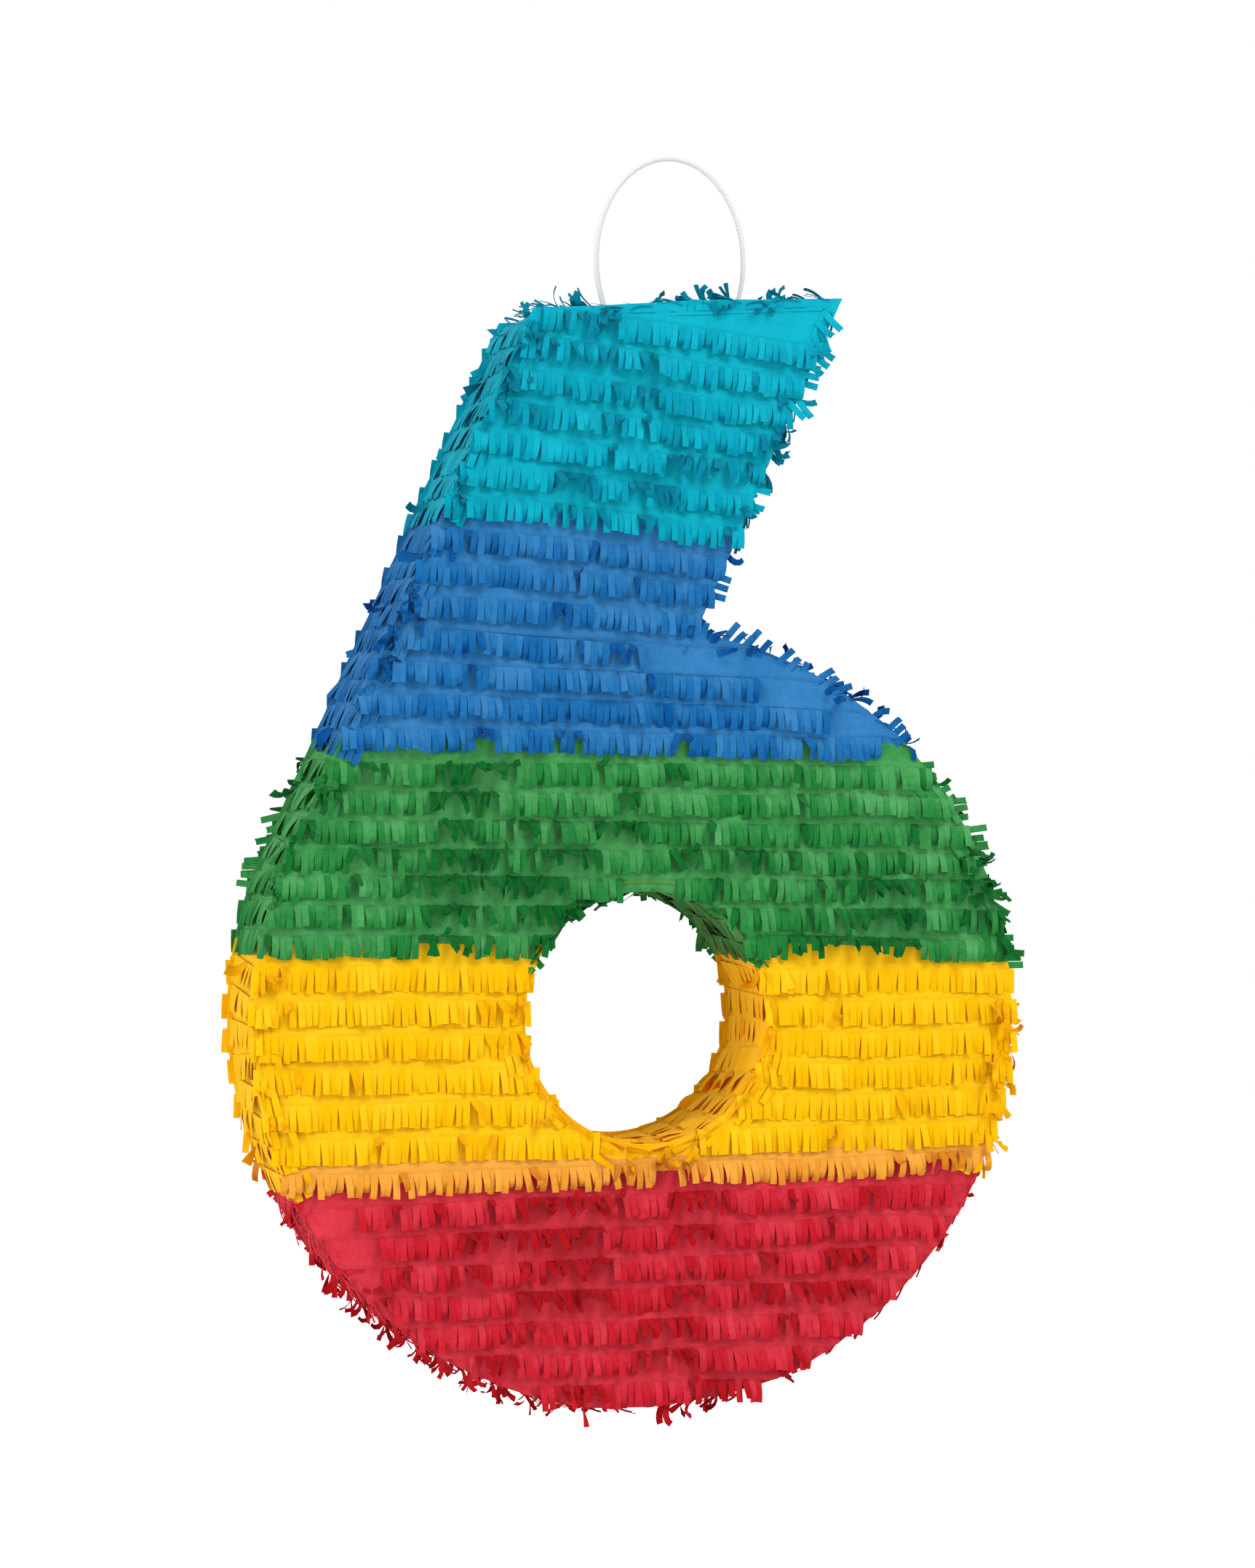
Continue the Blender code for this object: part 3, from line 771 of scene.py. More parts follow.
def loop_route():
    """The hanging loop's centreline: up from the left foot, over half an ellipse and down to the right
    foot."""

    def surface(x):
        return BOWL_CENTRE.z + TOP_LEFT.z + (x - BOWL_CENTRE.x - TOP_LEFT.x) * tan(TOP_TILT)

    feet = []
    for side in (-1, 1):
        drop = surface(side * FOOT_X) + FOOT_RISE - CORD_RADIUS + LOOP_HALF_HEIGHT
        x = side * LOOP_HALF_WIDTH * cos(asin(drop / LOOP_HALF_HEIGHT))
        feet.append(Vector((x, 0, surface(x))) + TOP_NORMAL * FOOT_RISE)
    left, right = feet
    centre = CORD_RADIUS - LOOP_HALF_HEIGHT
    start = pi - asin((left.z + 4 * MM - centre) / LOOP_HALF_HEIGHT)
    end = asin((right.z + 4 * MM - centre) / LOOP_HALF_HEIGHT)
    steps = 26
    route = [foot - TOP_NORMAL * depth for foot, depth in ((left, 4 * MM), (left, 2 * MM), (left, 0))]
    for i in range(steps + 1):
        angle = start + (end - start) * i / steps
        route.append(Vector((LOOP_HALF_WIDTH * cos(angle), 0, centre + LOOP_HALF_HEIGHT * sin(angle))))
    route += [right - TOP_NORMAL * depth for depth in (0, 2 * MM, 4 * MM)]
    return route


def closed_outline(inset):
    """The whole outline, clockwise from the bottom of the bowl as the front shows it, with no repeated
    point."""
    place = corners(inset)
    radius = BOWL_RADIUS - inset
    left = arc(Vector(), radius, -pi / 2, -pi - STEM_LEAN)
    right = arc(Vector(), radius, acos(place["notch"].x / radius), -pi / 2)
    ring = left + [place["top_left"], place["top_right"]] + right[:-1]
    split = []
    for a, b in zip(ring, ring[1:] + ring[:1]):
        count = max(1, round((b - a).length / (4 * MM)))
        split += [a.lerp(b, i / count) for i in range(count)]
    return split


def lip_width(place):
    """How far the wall's paper is folded over on the flat faces at a point of the outline."""
    band, side = band_at(place), side_of(place)
    if (band, side) == ("turquoise", "right"):
        return 3 * MM
    return (PLAIN_EDGE.get((band, side), 0.0) + FOLD) * (1 + 0.35 * noise.noise(place * 25))


def wall_ring(ring, rows, lips, settings):
    """The pasted paper along a closed outline, turned over both edges of the wall by the width of its
    lips."""
    made = bmesh.new()
    face_y = CARD_Y + 1.1 * MM
    # The section from edge to edge: a share of the lip's width, a depth under the wall, and a place along Y.
    turned = [(share, 0.0, -face_y) for share in (-1.0, -0.6, -0.3)]
    turned += [(0.0, -1.5 * MM, -face_y), (0.0, -0.4 * MM, 0.3 * MM - face_y)]
    level = [1.3 * MM - face_y] + [face_y * (i / 6 - 1) for i in range(1, 12)] + [face_y - 1.3 * MM]
    section = turned + [(0.0, 0.0, y) for y in level]
    section += [(share, depth, -y) for share, depth, y in reversed(turned)]
    smooth = [sum(lips[(i + k) % len(lips)] for k in range(-3, 4)) / 7 for i in range(len(lips))]
    around = []
    for before, here, after, lip in zip(ring[-1:] + ring[:-1], ring, ring[1:] + ring[:1], smooth):
        into, onward = (here - before).normalized(), (after - here).normalized()
        mitre = Vector((-into.z - onward.z, 0, into.x + onward.x))
        mitre /= mitre.length_squared / 2
        loop = []
        for share, depth, y in section:
            point = here + Vector((0, y, 0))
            inward = share * lip + depth
            wave = abs(ripple(point, 13 * MM, 0.7 * MM))
            if inward:
                point += mitre * inward + Vector((0, wave if y > 0 else -wave, 0))
                loop.append(made.verts.new(point))
                continue
            above = []
            for row in rows:
                start, end = row.points
                if end.y - start.y < 20 * MM or hypot(here.x - start.x, here.z - start.z) > 14 * MM:
                    continue
                level_with = start.lerp(end, (y - start.y) / (end.y - start.y))
                above.append((level_with - point).dot(row.down))
            loop.append(made.verts.new(point + mitre * (PASTE + shingle(above, settings) + wave)))
        around.append(loop)
    for a, b in zip(around, around[1:] + around[:1]):
        for i in range(len(section) - 1):
            made.faces.new((a[i], a[i + 1], b[i + 1], b[i]))
    bmesh.ops.recalc_face_normals(made, faces=made.faces)
    for band in list(BANDS.values())[:-1]:
        cut_face(made, (0, 0, band.low + LAP), upright(radians(band.tilt)))
    return made


def ring_part(ring, keep):
    """The part of a wall's paper whose faces pass a test, as a closed thin solid in the world's frame."""
    part = ring.copy()
    others = [f for f in part.faces if not keep(f.calc_center_median())]
    bmesh.ops.delete(part, geom=others, context="FACES")
    thickened(part, SHEET)
    bmesh.ops.translate(part, verts=part.verts, vec=BOWL_CENTRE)
    return part


def joined(name, meshes):
    """Several meshes as one, with their attributes and materials."""
    made = bmesh.new()
    materials = []
    for mesh in meshes:
        for material in mesh.materials:
            if material not in materials:
                materials.append(material)
    for mesh in meshes:
        places = [materials.index(m) for m in mesh.materials]
        count = len(made.faces)
        made.from_mesh(mesh)
        made.faces.ensure_lookup_table()
        for face in made.faces[count:]:
            face.material_index = places[face.material_index]
    whole = bpy.data.meshes.new(name)
    for material in materials:
        whole.materials.append(material)
    made.to_mesh(whole)
    made.free()
    for mesh in meshes:
        bpy.data.meshes.remove(mesh)
    return whole


# ---- Materials ----


def tissue_material(name, middle, light, deep, streak_mm=0.9):
    """Dyed tissue paper: thin, matt and a little see-through, so folds and overlaps turn darker and richer in
    colour.
    Each strand has its own random tone, with painted shade at its tip and on loose strands, and the colour
    runs between painted light and painted shadow shades of the dye. Fine creases run over it, painted darker
    and lighter."""
    material = bpy.data.materials.new(name)
    material.use_nodes = True
    tree = material.node_tree
    tree.nodes.clear()

    def n(kind, *values, out=0, **settings):
        return add_node(tree, kind, *values, out=out, **settings)

    place = n("ShaderNodeTexCoord", out=3)
    # The points' tone: a random tone per strand, with painted shade at the tips and on loose strands, and
    # painted light on the pasted paper.
    tint = n("ShaderNodeAttribute", out=2, attribute_name="tint")
    crease = n("ShaderNodeTexNoise", place, None, 1 / (streak_mm * MM * 3), 4.0, 0.6)
    blotch = n("ShaderNodeTexNoise", place, None, 1 / (22 * MM), 2.0, 0.5)
    # Painted shade and light: the fine creases that bump the paper also darken and lighten its colour; the
    # broad blotches are random tone.
    shade = n(MATH, n(MATH, crease, 0.5, operation="SUBTRACT"), 0.4, tint, operation="MULTIPLY_ADD")
    shade = n(MATH, n(MATH, blotch, 0.5, operation="SUBTRACT"), 0.5, shade, operation="MULTIPLY_ADD")
    # Painted light and shade: the ramp runs from the dye's painted shadow shade through its middle to its
    # painted light shade.
    ramp = tree.nodes.new("ShaderNodeValToRGB")
    ramp.color_ramp.elements[0].position = 0.12
    ramp.color_ramp.elements[0].color = (*deep, 1)
    ramp.color_ramp.elements[1].position = 0.88
    ramp.color_ramp.elements[1].color = (*light, 1)
    centre = ramp.color_ramp.elements.new(0.5)
    centre.color = (*middle, 1)
    tree.links.new(shade, ramp.inputs[0])
    bump = n("ShaderNodeBump", 0.35, 0.4 * MM, None, crease)
    principled = tree.nodes.new("ShaderNodeBsdfPrincipled")
    principled.inputs["Roughness"].default_value = 0.78
    principled.inputs["IOR"].default_value = 1.45
    principled.inputs["Specular IOR Level"].default_value = 0.06
    principled.inputs["Sheen Weight"].default_value = 0.03
    principled.inputs["Sheen Roughness"].default_value = 0.5
    tree.links.new(ramp.outputs[0], principled.inputs["Base Color"])
    tree.links.new(bump, principled.inputs["Normal"])
    through = n("ShaderNodeBsdfTranslucent", ramp.outputs[0], bump)
    mix = n("ShaderNodeMixShader", 0.3, principled.outputs[0], through)
    n("ShaderNodeOutputMaterial", mix)
    return material


def tissue(dye):
    """The tissue material of one dye, or of the hole's painted copy of one, with its painted light and
    shadow shades, made when it is first asked for.
    """
    name = "dyed_and_shaded_tissue_" + dye
    dyes = bpy.context.scene.pinata_dyes
    shades = [getattr(dyes, f"{dye}_{shade}") for shade in SHADES]
    return bpy.data.materials.get(name) or tissue_material(name, *shades)


def patterned_material(name, pattern, shades, bump, roughness, stops=(0.0, 1.0)):
    """A material whose colour runs between two shades with a pattern. The pattern is its bump too, with a
    strength and a depth."""
    material = bpy.data.materials.new(name)
    material.use_nodes = True
    tree = material.node_tree
    shader = tree.nodes["Principled BSDF"]
    value = pattern(tree, add_node(tree, "ShaderNodeTexCoord", out=3))
    ramp = tree.nodes.new("ShaderNodeValToRGB")
    for element, stop, shade in zip(ramp.color_ramp.elements, stops, shades):
        element.position = stop
        element.color = (*linear(shade), 1)
    tree.links.new(value, ramp.inputs[0])
    tree.links.new(ramp.outputs[0], shader.inputs["Base Color"])
    tree.links.new(add_node(tree, "ShaderNodeBump", *bump, None, value), shader.inputs["Normal"])
    shader.inputs["Roughness"].default_value = roughness
    return material, shader


def card_material():
    """Corrugated kraft card: a matt brown liner that shows its flutes as faint ribs, with specks of fibre."""

    def pattern(tree, place):
        ribs = {"wave_type": "BANDS", "bands_direction": "X"}
        flutes = add_node(tree, "ShaderNodeTexWave", place, 1 / (6.5 * MM) / 3, 1.2, **ribs)
        fibre = add_node(tree, "ShaderNodeTexNoise", place, None, 1 / (0.8 * MM), 5.0, 0.7)
        cloud = add_node(tree, "ShaderNodeTexNoise", place, None, 1 / (30 * MM), 2.0)
        cloud = add_node(tree, MATH, cloud, 0.5, operation="MULTIPLY")
        shade = add_node(tree, MATH, fibre, 0.5, cloud, operation="MULTIPLY_ADD")
        return add_node(tree, MATH, flutes, 0.12, shade, operation="MULTIPLY_ADD")

    shades, bump = ("8F6A43", "C49C6C"), (0.4, 0.3 * MM)
    material, shader = patterned_material("corrugated_kraft_card", pattern, shades, bump, 0.85, (0.3, 0.8))
    shader.inputs["Specular IOR Level"].default_value = 0.3
    return material


def tape_material():
    """Gummed paper tape: smoother and paler than the card, with long fibres."""

    def pattern(tree, place):
        return add_node(tree, "ShaderNodeTexNoise", place, None, 1 / (1.2 * MM), 4.0, 0.6)

    return patterned_material("gummed_paper_tape", pattern, ("B8935F", "D6B88A"), (0.2, 0.1 * MM), 0.6)[0]


def cord_material():
    """Woven polyester tape: white, faintly shiny, with fine diagonal threads."""

    def pattern(tree, place):
        threads = {"wave_type": "BANDS", "bands_direction": "DIAGONAL"}
        return add_node(tree, "ShaderNodeTexWave", place, 1 / (0.8 * MM) / 3, 2.0, **threads)

    shades, bump = ("BCBCBA", "C8C8C6"), (0.12, 0.1 * MM)
    material, shader = patterned_material("woven_polyester_tape", pattern, shades, bump, 0.55)
    shader.inputs["Sheen Weight"].default_value = 0.2
    return material


# ---- Settings ----


class TissueSettings(bpy.types.PropertyGroup):
    """Sizes of the cut tissue."""

    strand_width: bpy.props.FloatProperty(
        name="Strand width", description="Width of one cut strand", default=3.4 * MM, unit="LENGTH"
    )
    reach: bpy.props.FloatProperty(
        name="Strand length", description="From the cut's end to the tip", default=12.8 * MM, unit="LENGTH"
    )
    paper: bpy.props.FloatProperty(
        name="Paper", description="Thickness of a strand's crumpled layers", default=0.14 * MM, unit="LENGTH"
    )
    header: bpy.props.FloatProperty(
        name="Header", description="Height of the uncut edge that shows", default=3.6 * MM, unit="LENGTH"
    )
    rise: bpy.props.FloatProperty(
        name="Rise", description="How far a cut line stands off the card", default=1.5 * MM, unit="LENGTH"
    )
    lean: bpy.props.FloatProperty(
        name="Lean", description="Largest sideways lean of a strand", default=radians(3.5), subtype="ANGLE"
    )


# The middle, the painted light and the painted shadow shade of each dye: the light and shadow shades stand in
# for the lamps' light and the shade in folds. The hole's colours are painted copies: a darker, duller green
# for the shade at the hole's top, and a lighter yellow, painted light against the shade inside the hole.
SHADES = ("middle", "light", "deep")
TISSUE_COLOURS = {
    "turquoise": ("009BB2", "0CAEC2", "007F9A"),
    "blue": ("1C6BA8", "3A80B8", "005096"),
    "green": ("28823C", "52A25E", "0C6A2A"),
    "yellow": ("EEB900", "F2C31A", "E8AD00"),
    "red": ("C42030", "D43C4A", "B01018"),
    "last_yellow": ("E29C34", "ECAC44", "CE7C1C"),
    # Painted copies for the hole: a darker, duller green for the shade at its top, and a lighter yellow,
    # painted light against the shade inside it.
    "hole_green": ("3A7C38", "569A50", "1C6428"),
    "hole_yellow": ("FFC40A", "FFCE2A", "F8B000"),
}


class DyeAndShadeSettings(bpy.types.PropertyGroup):
    """Each dye's colours: the middle one, and its painted light and painted shadow shades, which stand in for
    the lamps' light on it and the shade in its folds.
    """

    __annotations__ = {
        f"{dye}_{shade}": bpy.props.FloatVectorProperty(
            name=f"{dye} {shade}".replace("_", " ").capitalize(),
            description=f"The {shade} shade of the tissue's {dye.replace('_', ' ')} dye",
            default=linear(colour),
            min=0.0,
            max=1.0,
            subtype="COLOR",
        )
        for dye, colours in TISSUE_COLOURS.items()
        for shade, colour in zip(SHADES, colours)
    }


class CordSettings(bpy.types.PropertyGroup):
    """Sizes of the hanging loop's tape."""

    width: bpy.props.FloatProperty(
        name="Width", description="Width of the flat tape", default=3 * MM, unit="LENGTH"
    )
    thickness: bpy.props.FloatProperty(
        name="Thickness", description="Thickness of the tape", default=1.3 * MM, unit="LENGTH"
    )


class StageSettings(bpy.types.PropertyGroup):
    """The camera, the lamps and the floor."""

    azimuth: bpy.props.FloatProperty(
        name="Azimuth", description="Camera's turn round the figure", default=radians(-13.65), subtype="ANGLE"
    )
    distance: bpy.props.FloatProperty(
        name="Distance", description="From the camera to the hook", default=2.3, unit="LENGTH"
    )
    key_power: bpy.props.FloatProperty(name="Key lamp", description="Power in watts", default=36.0)
    fill_power: bpy.props.FloatProperty(name="Fill lamp", description="Power in watts", default=46.0)
    sky: bpy.props.FloatProperty(name="Sky", description="Light from the white surroundings", default=0.78)


# The camera's aim from the hook, and the lens that fills the frame with the front from one range.
AIM_RIGHT, AIM_HEIGHT = -0.0215, -0.3159
LENS, LENS_RANGE, FRONT_NEARER = 104.1, 2.2506, 0.0494


# ---- Operators ----


class PinataFaces(bpy.types.Operator):
    """Dress the flat front and back in five bands of cut tissue"""

    bl_idname = "pinata.faces"
    bl_label = "Front and back tissue"

    def execute(self, context):
        settings = context.scene.pinata_tissue
        places = [(label, side, name) for label, side in (("front", -1), ("back", 1)) for name in BANDS]
        for seed, (label, side, name) in enumerate(places, 100):
            band = BACK_TURQUOISE if (label, name) == ("back", "turquoise") else BANDS[name]
            straying = band is not BACK_TURQUOISE  # its rows run straight on over the flap
            node = f"{label}_fringe_{name}"
            finish = tissue(name)
            heights = row_heights(band, settings)
            rows = face_rows(node, side, name, band, heights, settings, straying)
            parts = []
            last = None
            if name == "yellow":
                last = tissue("last_yellow")
                lowest = [row for row in rows if row.points[0].z < heights[0][0] + 8 * MM]
                rows = [row for row in rows if row not in lowest]
                lowest = [row._replace(lift=0.55, loose=0.12) for row in lowest]
                parts.append(fringe_mesh(node + "_last", lowest, settings, -1.4, last, seed + 50, stray=3.0))
            parts.append(fringe_mesh(node + "_strands", rows, settings, band.curl, finish, seed))
            face = lapped_face(label, side, name)
            parts.append(face_sheet(node + "_sheet", face, side, heights, finish, settings, straying, last))
            new_piece(f"tissue_{label}_{name}", joined(node, parts), "tissue_" + name, "shell", node)
        return {"FINISHED"}


def across_and_folds(rows):
    """A wall's rows apart: those across the wall, and those folded over its edges."""
    return [row for row in rows if not row.out.y], [row for row in rows if row.out.y]


class PinataWalls(bpy.types.Operator):
    """Dress the outside walls"""

    bl_idname = "pinata.walls"
    bl_label = "Outer wall tissue"

    def execute(self, context):
        settings = context.scene.pinata_tissue
        strands, stray = {}, {}
        for seed, (name, side) in enumerate(TUFTS, 300):
            path = wall_path(side, SKIN)
            fold = 0.0 if (name, side) in PLAIN_EDGE or (name, side) == ("turquoise", "right") else FOLD
            lift, loose = (0.05, 0.04) if side == "left" else (0.35, 0.25)
            if name == "red":
                lift, loose = 0.15, 0.15
            strands[name, side] = wall_rows(side, path, name, OUTER_PITCH, settings, lift, loose, fold)
            stray[name, side] = tufts(side, path, name, settings, *TUFTS[name, side], seed)
        strands["turquoise", "top"] = top_rows(settings)
        seed += 1
        edge = [corners(SKIN)[corner] for corner in ("top_right", "top_left")]
        stray["turquoise", "top"] = tufts("left", edge, "turquoise", settings, *TOP_TUFTS, seed)
        outline = closed_outline(SKIN)
        flat = [row for rows in strands.values() for row in rows]
        ring = wall_ring(outline, flat, [lip_width(place) for place in outline], settings)
        for node in [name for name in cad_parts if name.startswith("side_fringe_")]:
            name, *one_side = node.removeprefix("side_fringe_").split("_")

            def belongs(place):
                side = "left" if place.x < SIDE_SPLIT else "right"
                return covered_by(place) == name and (not one_side or side in one_side)

            parts = [paper_mesh(node + "_sheet", ring_part(ring, belongs), tissue(name))]
            for side in one_side or ("left", "right", "top"):
                across, folds = across_and_folds(strands.get((name, side), []))
                # On the left the strands lie flat and stay stuck together.
                curl, wide = (-0.25, 1.9) if side == "left" and name != "red" else (-0.5, 1.0)
                groups = (across, curl, wide), (folds, curl, 1.0), (stray.get((name, side)), 0.7, 1.0)
                for rows, curl, wide in groups:
                    if rows:
                        made = fringe_mesh(node + "_rows", rows, settings, curl, tissue(name), seed, wide)
                        parts.append(made)
                    seed += 1
            piece = node.replace("side_fringe", "tissue_side")
            new_piece(piece, joined(node, parts), "tissue_" + name, "shell", node)
        ring.free()
        return {"FINISHED"}


class PinataHole(bpy.types.Operator):
    """Dress the wall of the round hole"""

    bl_idname = "pinata.hole"
    bl_label = "Hole tissue"

    def execute(self, context):
        settings = context.scene.pinata_tissue
        # The hole's wall faces inwards, so each half of it is built as the wall of the other side.
        paths = {"right": hole_path("left", SKIN), "left": hole_path("right", SKIN)}
        strands = {}
        for name, fold in (("green", 0.0), ("yellow", FOLD)):
            strands[name] = []
            for inner, path in paths.items():
                strands[name] += wall_rows(inner, path, name, HOLE_PITCH, settings, 0.03, 0.03, fold)
        circle = arc(HOLE_CENTRE, HOLE_RADIUS + SKIN, 0, 2 * pi, radians(3.5))[:-1]
        flat = [row for rows in strands.values() for row in rows]
        ring = wall_ring(circle, flat, [HOLE_LIP] * len(circle), settings)
        seed = 346  # fixed, as all seeds are, so that the strands come out the same each time
        for name, rows in strands.items():
            node = "hole_fringe_" + name
            # The hole's own colours are painted copies: painted shade on its green, painted light on its
            # yellow.
            finish = tissue("hole_" + name)
            curls = []
            for inner, path in paths.items():
                curls += tufts(inner, path, name, settings, *HOLE_TUFTS[name], seed)
                seed += 1
            across, folds = across_and_folds(rows)
            part = ring_part(ring, lambda place: covered_by(place) == name)
            parts = [
                fringe_mesh(node + "_across", across, settings, -0.15, finish, seed, wide=2.4),
                fringe_mesh(node + "_tufts", curls, settings, 0.7, tissue(name), seed),
                paper_mesh(node + "_sheet", part, finish),
            ]
            if folds:
                parts.append(fringe_mesh(node + "_folds", folds, settings, -0.3, tissue(name), seed + 1))
            new_piece("tissue_hole_" + name, joined(node, parts), "tissue_" + name, "shell", node)
        ring.free()
        return {"FINISHED"}


class PinataFlap(bpy.types.Operator):
    """Dress the filling flap, and the row that bends over its crease"""

    bl_idname = "pinata.flap"
    bl_label = "Flap tissue"

    def execute(self, context):
        settings = context.scene.pinata_tissue
        band = BACK_TURQUOISE
        heights = row_heights(band, settings)
        rows = face_rows("flap_fringe", 1, "turquoise", band, heights, settings, straying=False)
        face = flat_face("flap_fringe", 1)
        crease = CREASE - BOWL_CENTRE.z
        cut_face(face, (0, 0, crease - CREASE_GAP), (0, 0, 1), clear_above=True)
        parts = [
            fringe_mesh("flap_strands", rows, settings, band.curl, tissue("turquoise"), 400),
            face_sheet("flap_sheet", face, 1, heights, tissue("turquoise"), settings, straying=False),
        ]
        new_piece("tissue_flap", joined("tissue_flap", parts), "tissue_turquoise", "flap", "flap_fringe")

        # One row is pasted to the shell just above the crease and hangs down over it.
        left, right = FLAP_LOW.x - BOWL_CENTRE.x, FLAP_HIGH.x - BOWL_CENTRE.x
        root = crease + CREASE_ROW
        level = CARD_Y + ROOT + settings.rise
        out = Vector((0, 1, 0))
        ends = [Vector((x, level, root)) for x in (left, right)]
        row = Row(ends, Vector((0, 0, -1)), out, 0.10, 0.0, settings.reach)
        strip = bmesh.new()
        columns = 16  # and lines from the strip's top edge down over the crease
        lines = [root + 2.6 * MM, root, root - 1.5 * MM] + [crease - i * MM for i in (0, 1, 2, 3, 5, 7)]
        grid = []
        for z in lines:
            rise = 0.9 * MM if z == root else 0.0
            line = [Vector((left + (right - left) * i / columns, 0, z)) for i in range(columns + 1)]
            grid.append([strip.verts.new(p + out * (CARD_Y + 0.5 * MM + rise)) for p in line])
        for a, b in zip(grid, grid[1:]):
            for i in range(columns):
                strip.faces.new((a[i], b[i], b[i + 1], a[i + 1]))
        strip.normal_update()
        if strip.faces[:][0].normal.y < 0:
            bmesh.ops.reverse_faces(strip, faces=strip.faces[:])
        thickened(strip, SHEET)
        bmesh.ops.translate(strip, verts=strip.verts, vec=BOWL_CENTRE)
        parts = [
            fringe_mesh("crease_strands", [row], settings, band.curl, tissue("turquoise"), 401),
            paper_mesh("crease_strip", strip, tissue("turquoise")),
        ]
        piece = new_piece("tissue_crease", joined("tissue_crease", parts), "tissue_turquoise", None)
        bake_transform(piece)
        return {"FINISHED"}


class PinataCord(bpy.types.Operator):
    """Make the hanging loop's flat tape"""

    bl_idname = "pinata.cord"
    bl_label = "Hanging loop"

    def execute(self, context):
        settings = context.scene.pinata_cord
        route = loop_route()
        length = path_length(route)
        made = bmesh.new()
        uv = made.loops.layers.uv.new("weave")
        rings = []
        walked = 0.0
        for i, point in enumerate(route):
            before, after = route[max(i - 1, 0)], route[min(i + 1, len(route) - 1)]
            along = (after - before).normalized()
            walked += (point - before).length
            turn = FIRST_TURN + WHOLE_TURN * (walked / length) ** 2
            flat = (Vector((0, 1, 0)).cross(along) * cos(turn) + Vector((0, 1, 0)) * sin(turn)).normalized()
            thin = along.cross(flat)
            ring = []
            for a in (2 * pi * k / 12 for k in range(12)):
                across = flat * settings.width / 2 * cos(a) * (1 + 0.12 * sin(a) ** 2)
                ring.append(made.verts.new(point + across + thin * settings.thickness / 2 * sin(a)))
            rings.append(ring)
        walked = 0.0
        for i, (a, b) in enumerate(zip(rings, rings[1:])):
            step = (route[i + 1] - route[i]).length
            for k in range(12):
                face = made.faces.new((a[k], a[(k + 1) % 12], b[(k + 1) % 12], b[k]))
                face.smooth = True
                for loop, place in zip(face.loops, ((k, 0), (k + 1, 0), (k + 1, step), (k, step))):
                    loop[uv].uv = (place[0] / 12 * 7 * MM, walked + place[1])
            walked += step
        made.faces.new(reversed(rings[0]))
        made.faces.new(rings[-1])
        bmesh.ops.recalc_face_normals(made, faces=made.faces)
        mesh = bpy.data.meshes.new("hanging_tape")
        made.to_mesh(mesh)
        made.free()
        mesh.materials.append(cord_material())
        piece = new_piece("hanging_tape", mesh, "white_cord", None, "hanging_loop")
        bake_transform(piece)
        return {"FINISHED"}


class PinataCard(bpy.types.Operator):
    """Finish the card body, its tape and the knots"""

    bl_idname = "pinata.card"
    bl_label = "Card, tape and knots"

    def execute(self, context):
        card, tape = card_material(), tape_material()
        cord = bpy.data.materials["woven_polyester_tape"]
        for name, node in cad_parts.items():
            if "_panel" in name or name.startswith(("wall_", "hanger_", "fill_")):
                finish = card
            elif name.startswith("tape_"):
                finish = tape
            elif name.startswith("knot_"):
                finish = cord
            else:
                continue
            node.data.materials.clear()
            node.data.materials.append(finish)
        return {"FINISHED"}


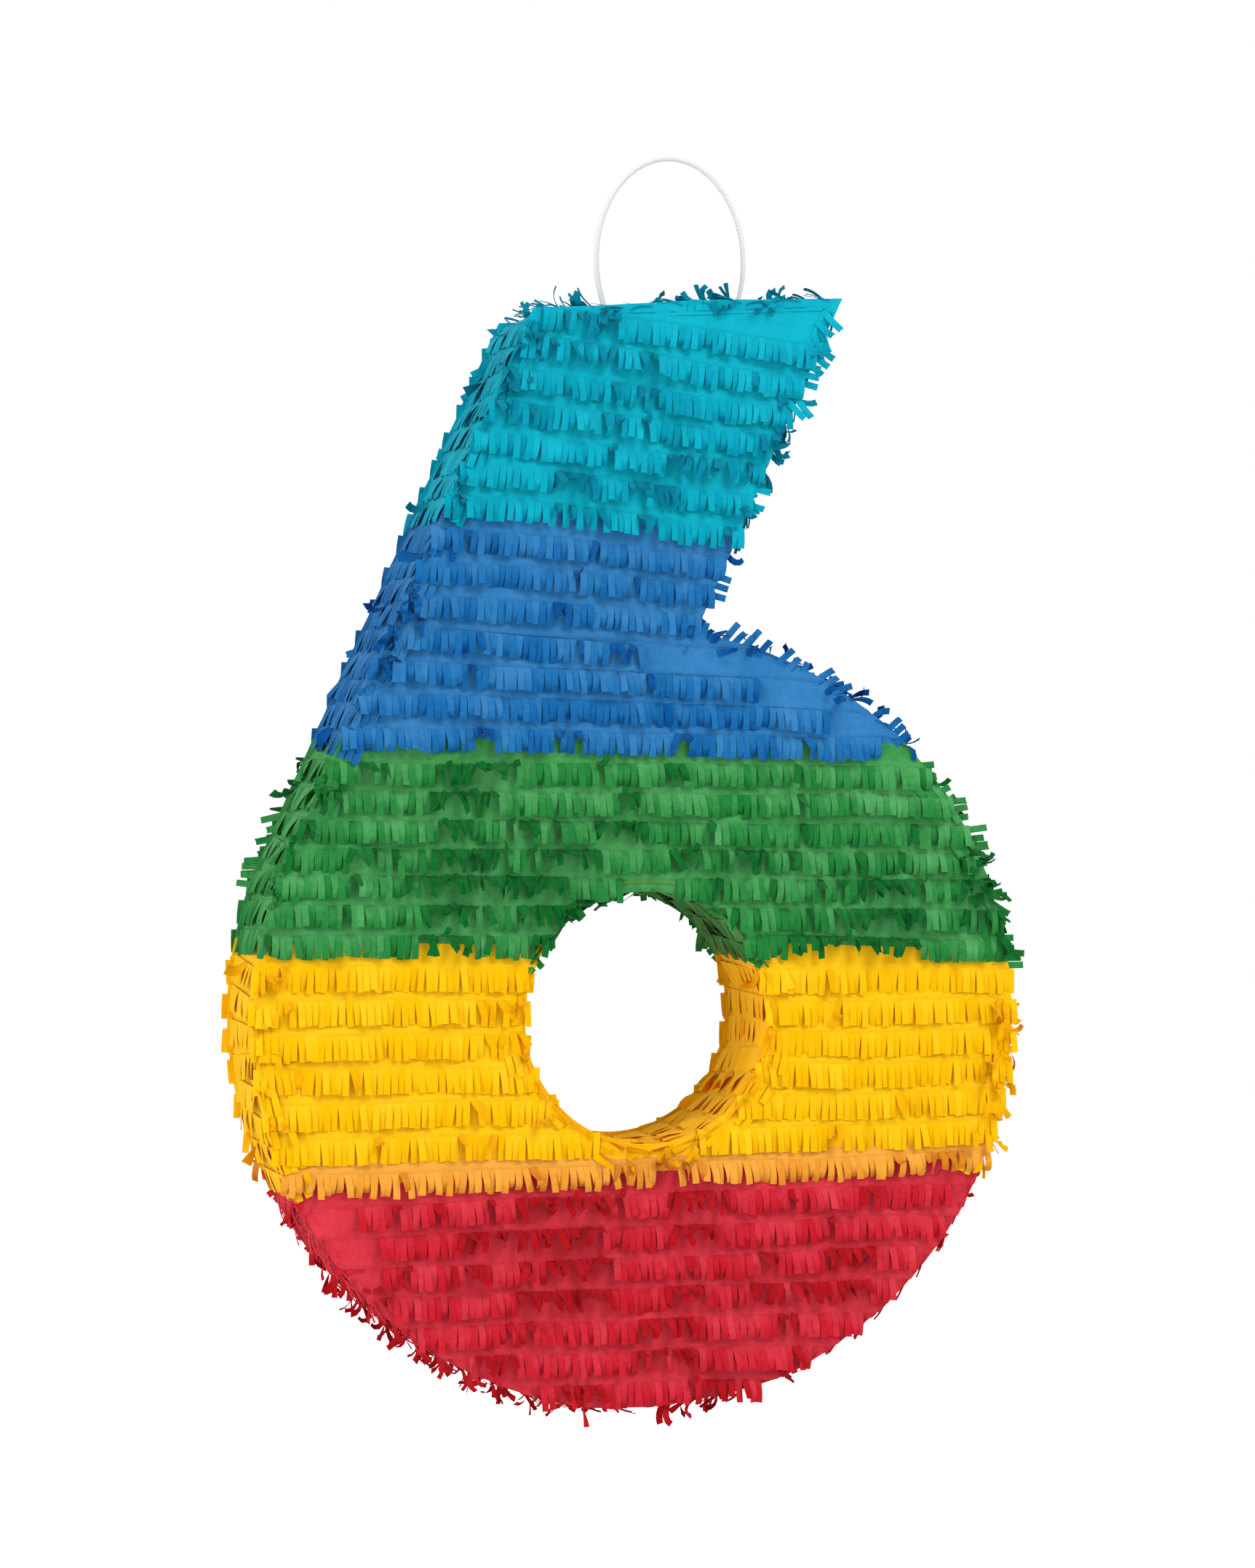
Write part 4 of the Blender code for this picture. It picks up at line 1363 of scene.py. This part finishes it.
class PinataStage(bpy.types.Operator):
    """Set up the camera, the soft lamps and the pale floor"""

    bl_idname = "pinata.stage"
    bl_label = "Stage"

    def execute(self, context):
        settings = context.scene.pinata_stage
        scene = context.scene
        away = Vector((sin(settings.azimuth), -cos(settings.azimuth), 0))
        right = Vector((cos(settings.azimuth), sin(settings.azimuth), 0))
        aim = right * AIM_RIGHT + Vector((0, 0, AIM_HEIGHT))
        eye = bpy.data.cameras.new("eye")
        eye.lens = LENS * (settings.distance - FRONT_NEARER) / LENS_RANGE
        eye.sensor_width = 36.0
        camera = bpy.data.objects.new("eye", eye)
        scene.collection.objects.link(camera)
        camera.location = aim + away * settings.distance
        camera.rotation_euler = (-away).to_track_quat("-Z", "Y").to_euler()
        scene.camera = camera

        world = bpy.data.worlds.new("white_surroundings")
        world.use_nodes = True
        sky = world.node_tree.nodes["Background"]
        sky.inputs["Color"].default_value = (1, 1, 1, 1)
        seen = add_node(world.node_tree, "ShaderNodeLightPath")
        strength = add_node(world.node_tree, "ShaderNodeMapRange", seen, 0.0, 1.0, settings.sky, 1.0)
        world.node_tree.links.new(strength, sky.inputs["Strength"])
        scene.world = world
        scene.view_settings.view_transform = "Standard"

        for name, place, power, size in (
            ("key", (0.9, -1.5, 1.5), settings.key_power, 0.9),
            ("fill", (-2.1, -1.1, 0.1), settings.fill_power, 1.6),
        ):
            lamp = bpy.data.lights.new(name, "AREA")
            lamp.energy = power
            lamp.size = size
            holder = bpy.data.objects.new(name, lamp)
            scene.collection.objects.link(holder)
            holder.location = aim + Vector(place)
            holder.rotation_euler = (-Vector(place)).to_track_quat("-Z", "Y").to_euler()

        bpy.ops.mesh.primitive_circle_add(vertices=96, radius=3.0, fill_type="NGON")
        floor = context.object
        floor.name = "floor"
        floor.location = (0, 0, CAD_BOX[0].z - 0.12)
        paint = bpy.data.materials.new("matt_white_floor")
        paint.use_nodes = True
        shader = paint.node_tree.nodes["Principled BSDF"]
        shader.inputs["Base Color"].default_value = (0.93, 0.93, 0.93, 1)
        shader.inputs["Roughness"].default_value = 0.9
        shader.inputs["Emission Color"].default_value = (1, 1, 1, 1)
        seen = add_node(paint.node_tree, "ShaderNodeLightPath")
        glow = add_node(paint.node_tree, MATH, seen, 0.5, operation="MULTIPLY")
        paint.node_tree.links.new(glow, shader.inputs["Emission Strength"])
        floor.data.materials.append(paint)
        return {"FINISHED"}


class PinataPanel(bpy.types.Panel):
    """Lists the pieces in the order that they are made"""

    bl_label = "Pinata"
    bl_idname = "VIEW3D_PT_pinata"
    bl_space_type = "VIEW_3D"
    bl_region_type = "UI"
    bl_category = "Pinata"

    def draw(self, context):
        for settings in (getattr(context.scene, name) for name in GROUPS):
            box = self.layout.box()
            for name in type(settings).__annotations__:
                box.prop(settings, name)
        for operator in OPERATORS:
            self.layout.operator(operator.bl_idname)


OPERATORS = (PinataStage, PinataFaces, PinataWalls, PinataHole, PinataFlap, PinataCord, PinataCard)
GROUPS = {
    "pinata_tissue": TissueSettings,
    "pinata_dyes": DyeAndShadeSettings,
    "pinata_cord": CordSettings,
    "pinata_stage": StageSettings,
}


def register():
    for kind in (*GROUPS.values(), *OPERATORS, PinataPanel):
        bpy.utils.register_class(kind)
    for name, kind in GROUPS.items():
        setattr(bpy.types.Scene, name, bpy.props.PointerProperty(type=kind))


def unregister():
    for name in GROUPS:
        delattr(bpy.types.Scene, name)
    for kind in reversed((*GROUPS.values(), *OPERATORS, PinataPanel)):
        bpy.utils.unregister_class(kind)


def main():
    register()
    bpy.ops.pinata.stage()
    bpy.ops.pinata.faces()
    bpy.ops.pinata.walls()
    bpy.ops.pinata.hole()
    bpy.ops.pinata.flap()
    bpy.ops.pinata.cord()
    bpy.ops.pinata.card()


if __name__ == "__main__":
    main()
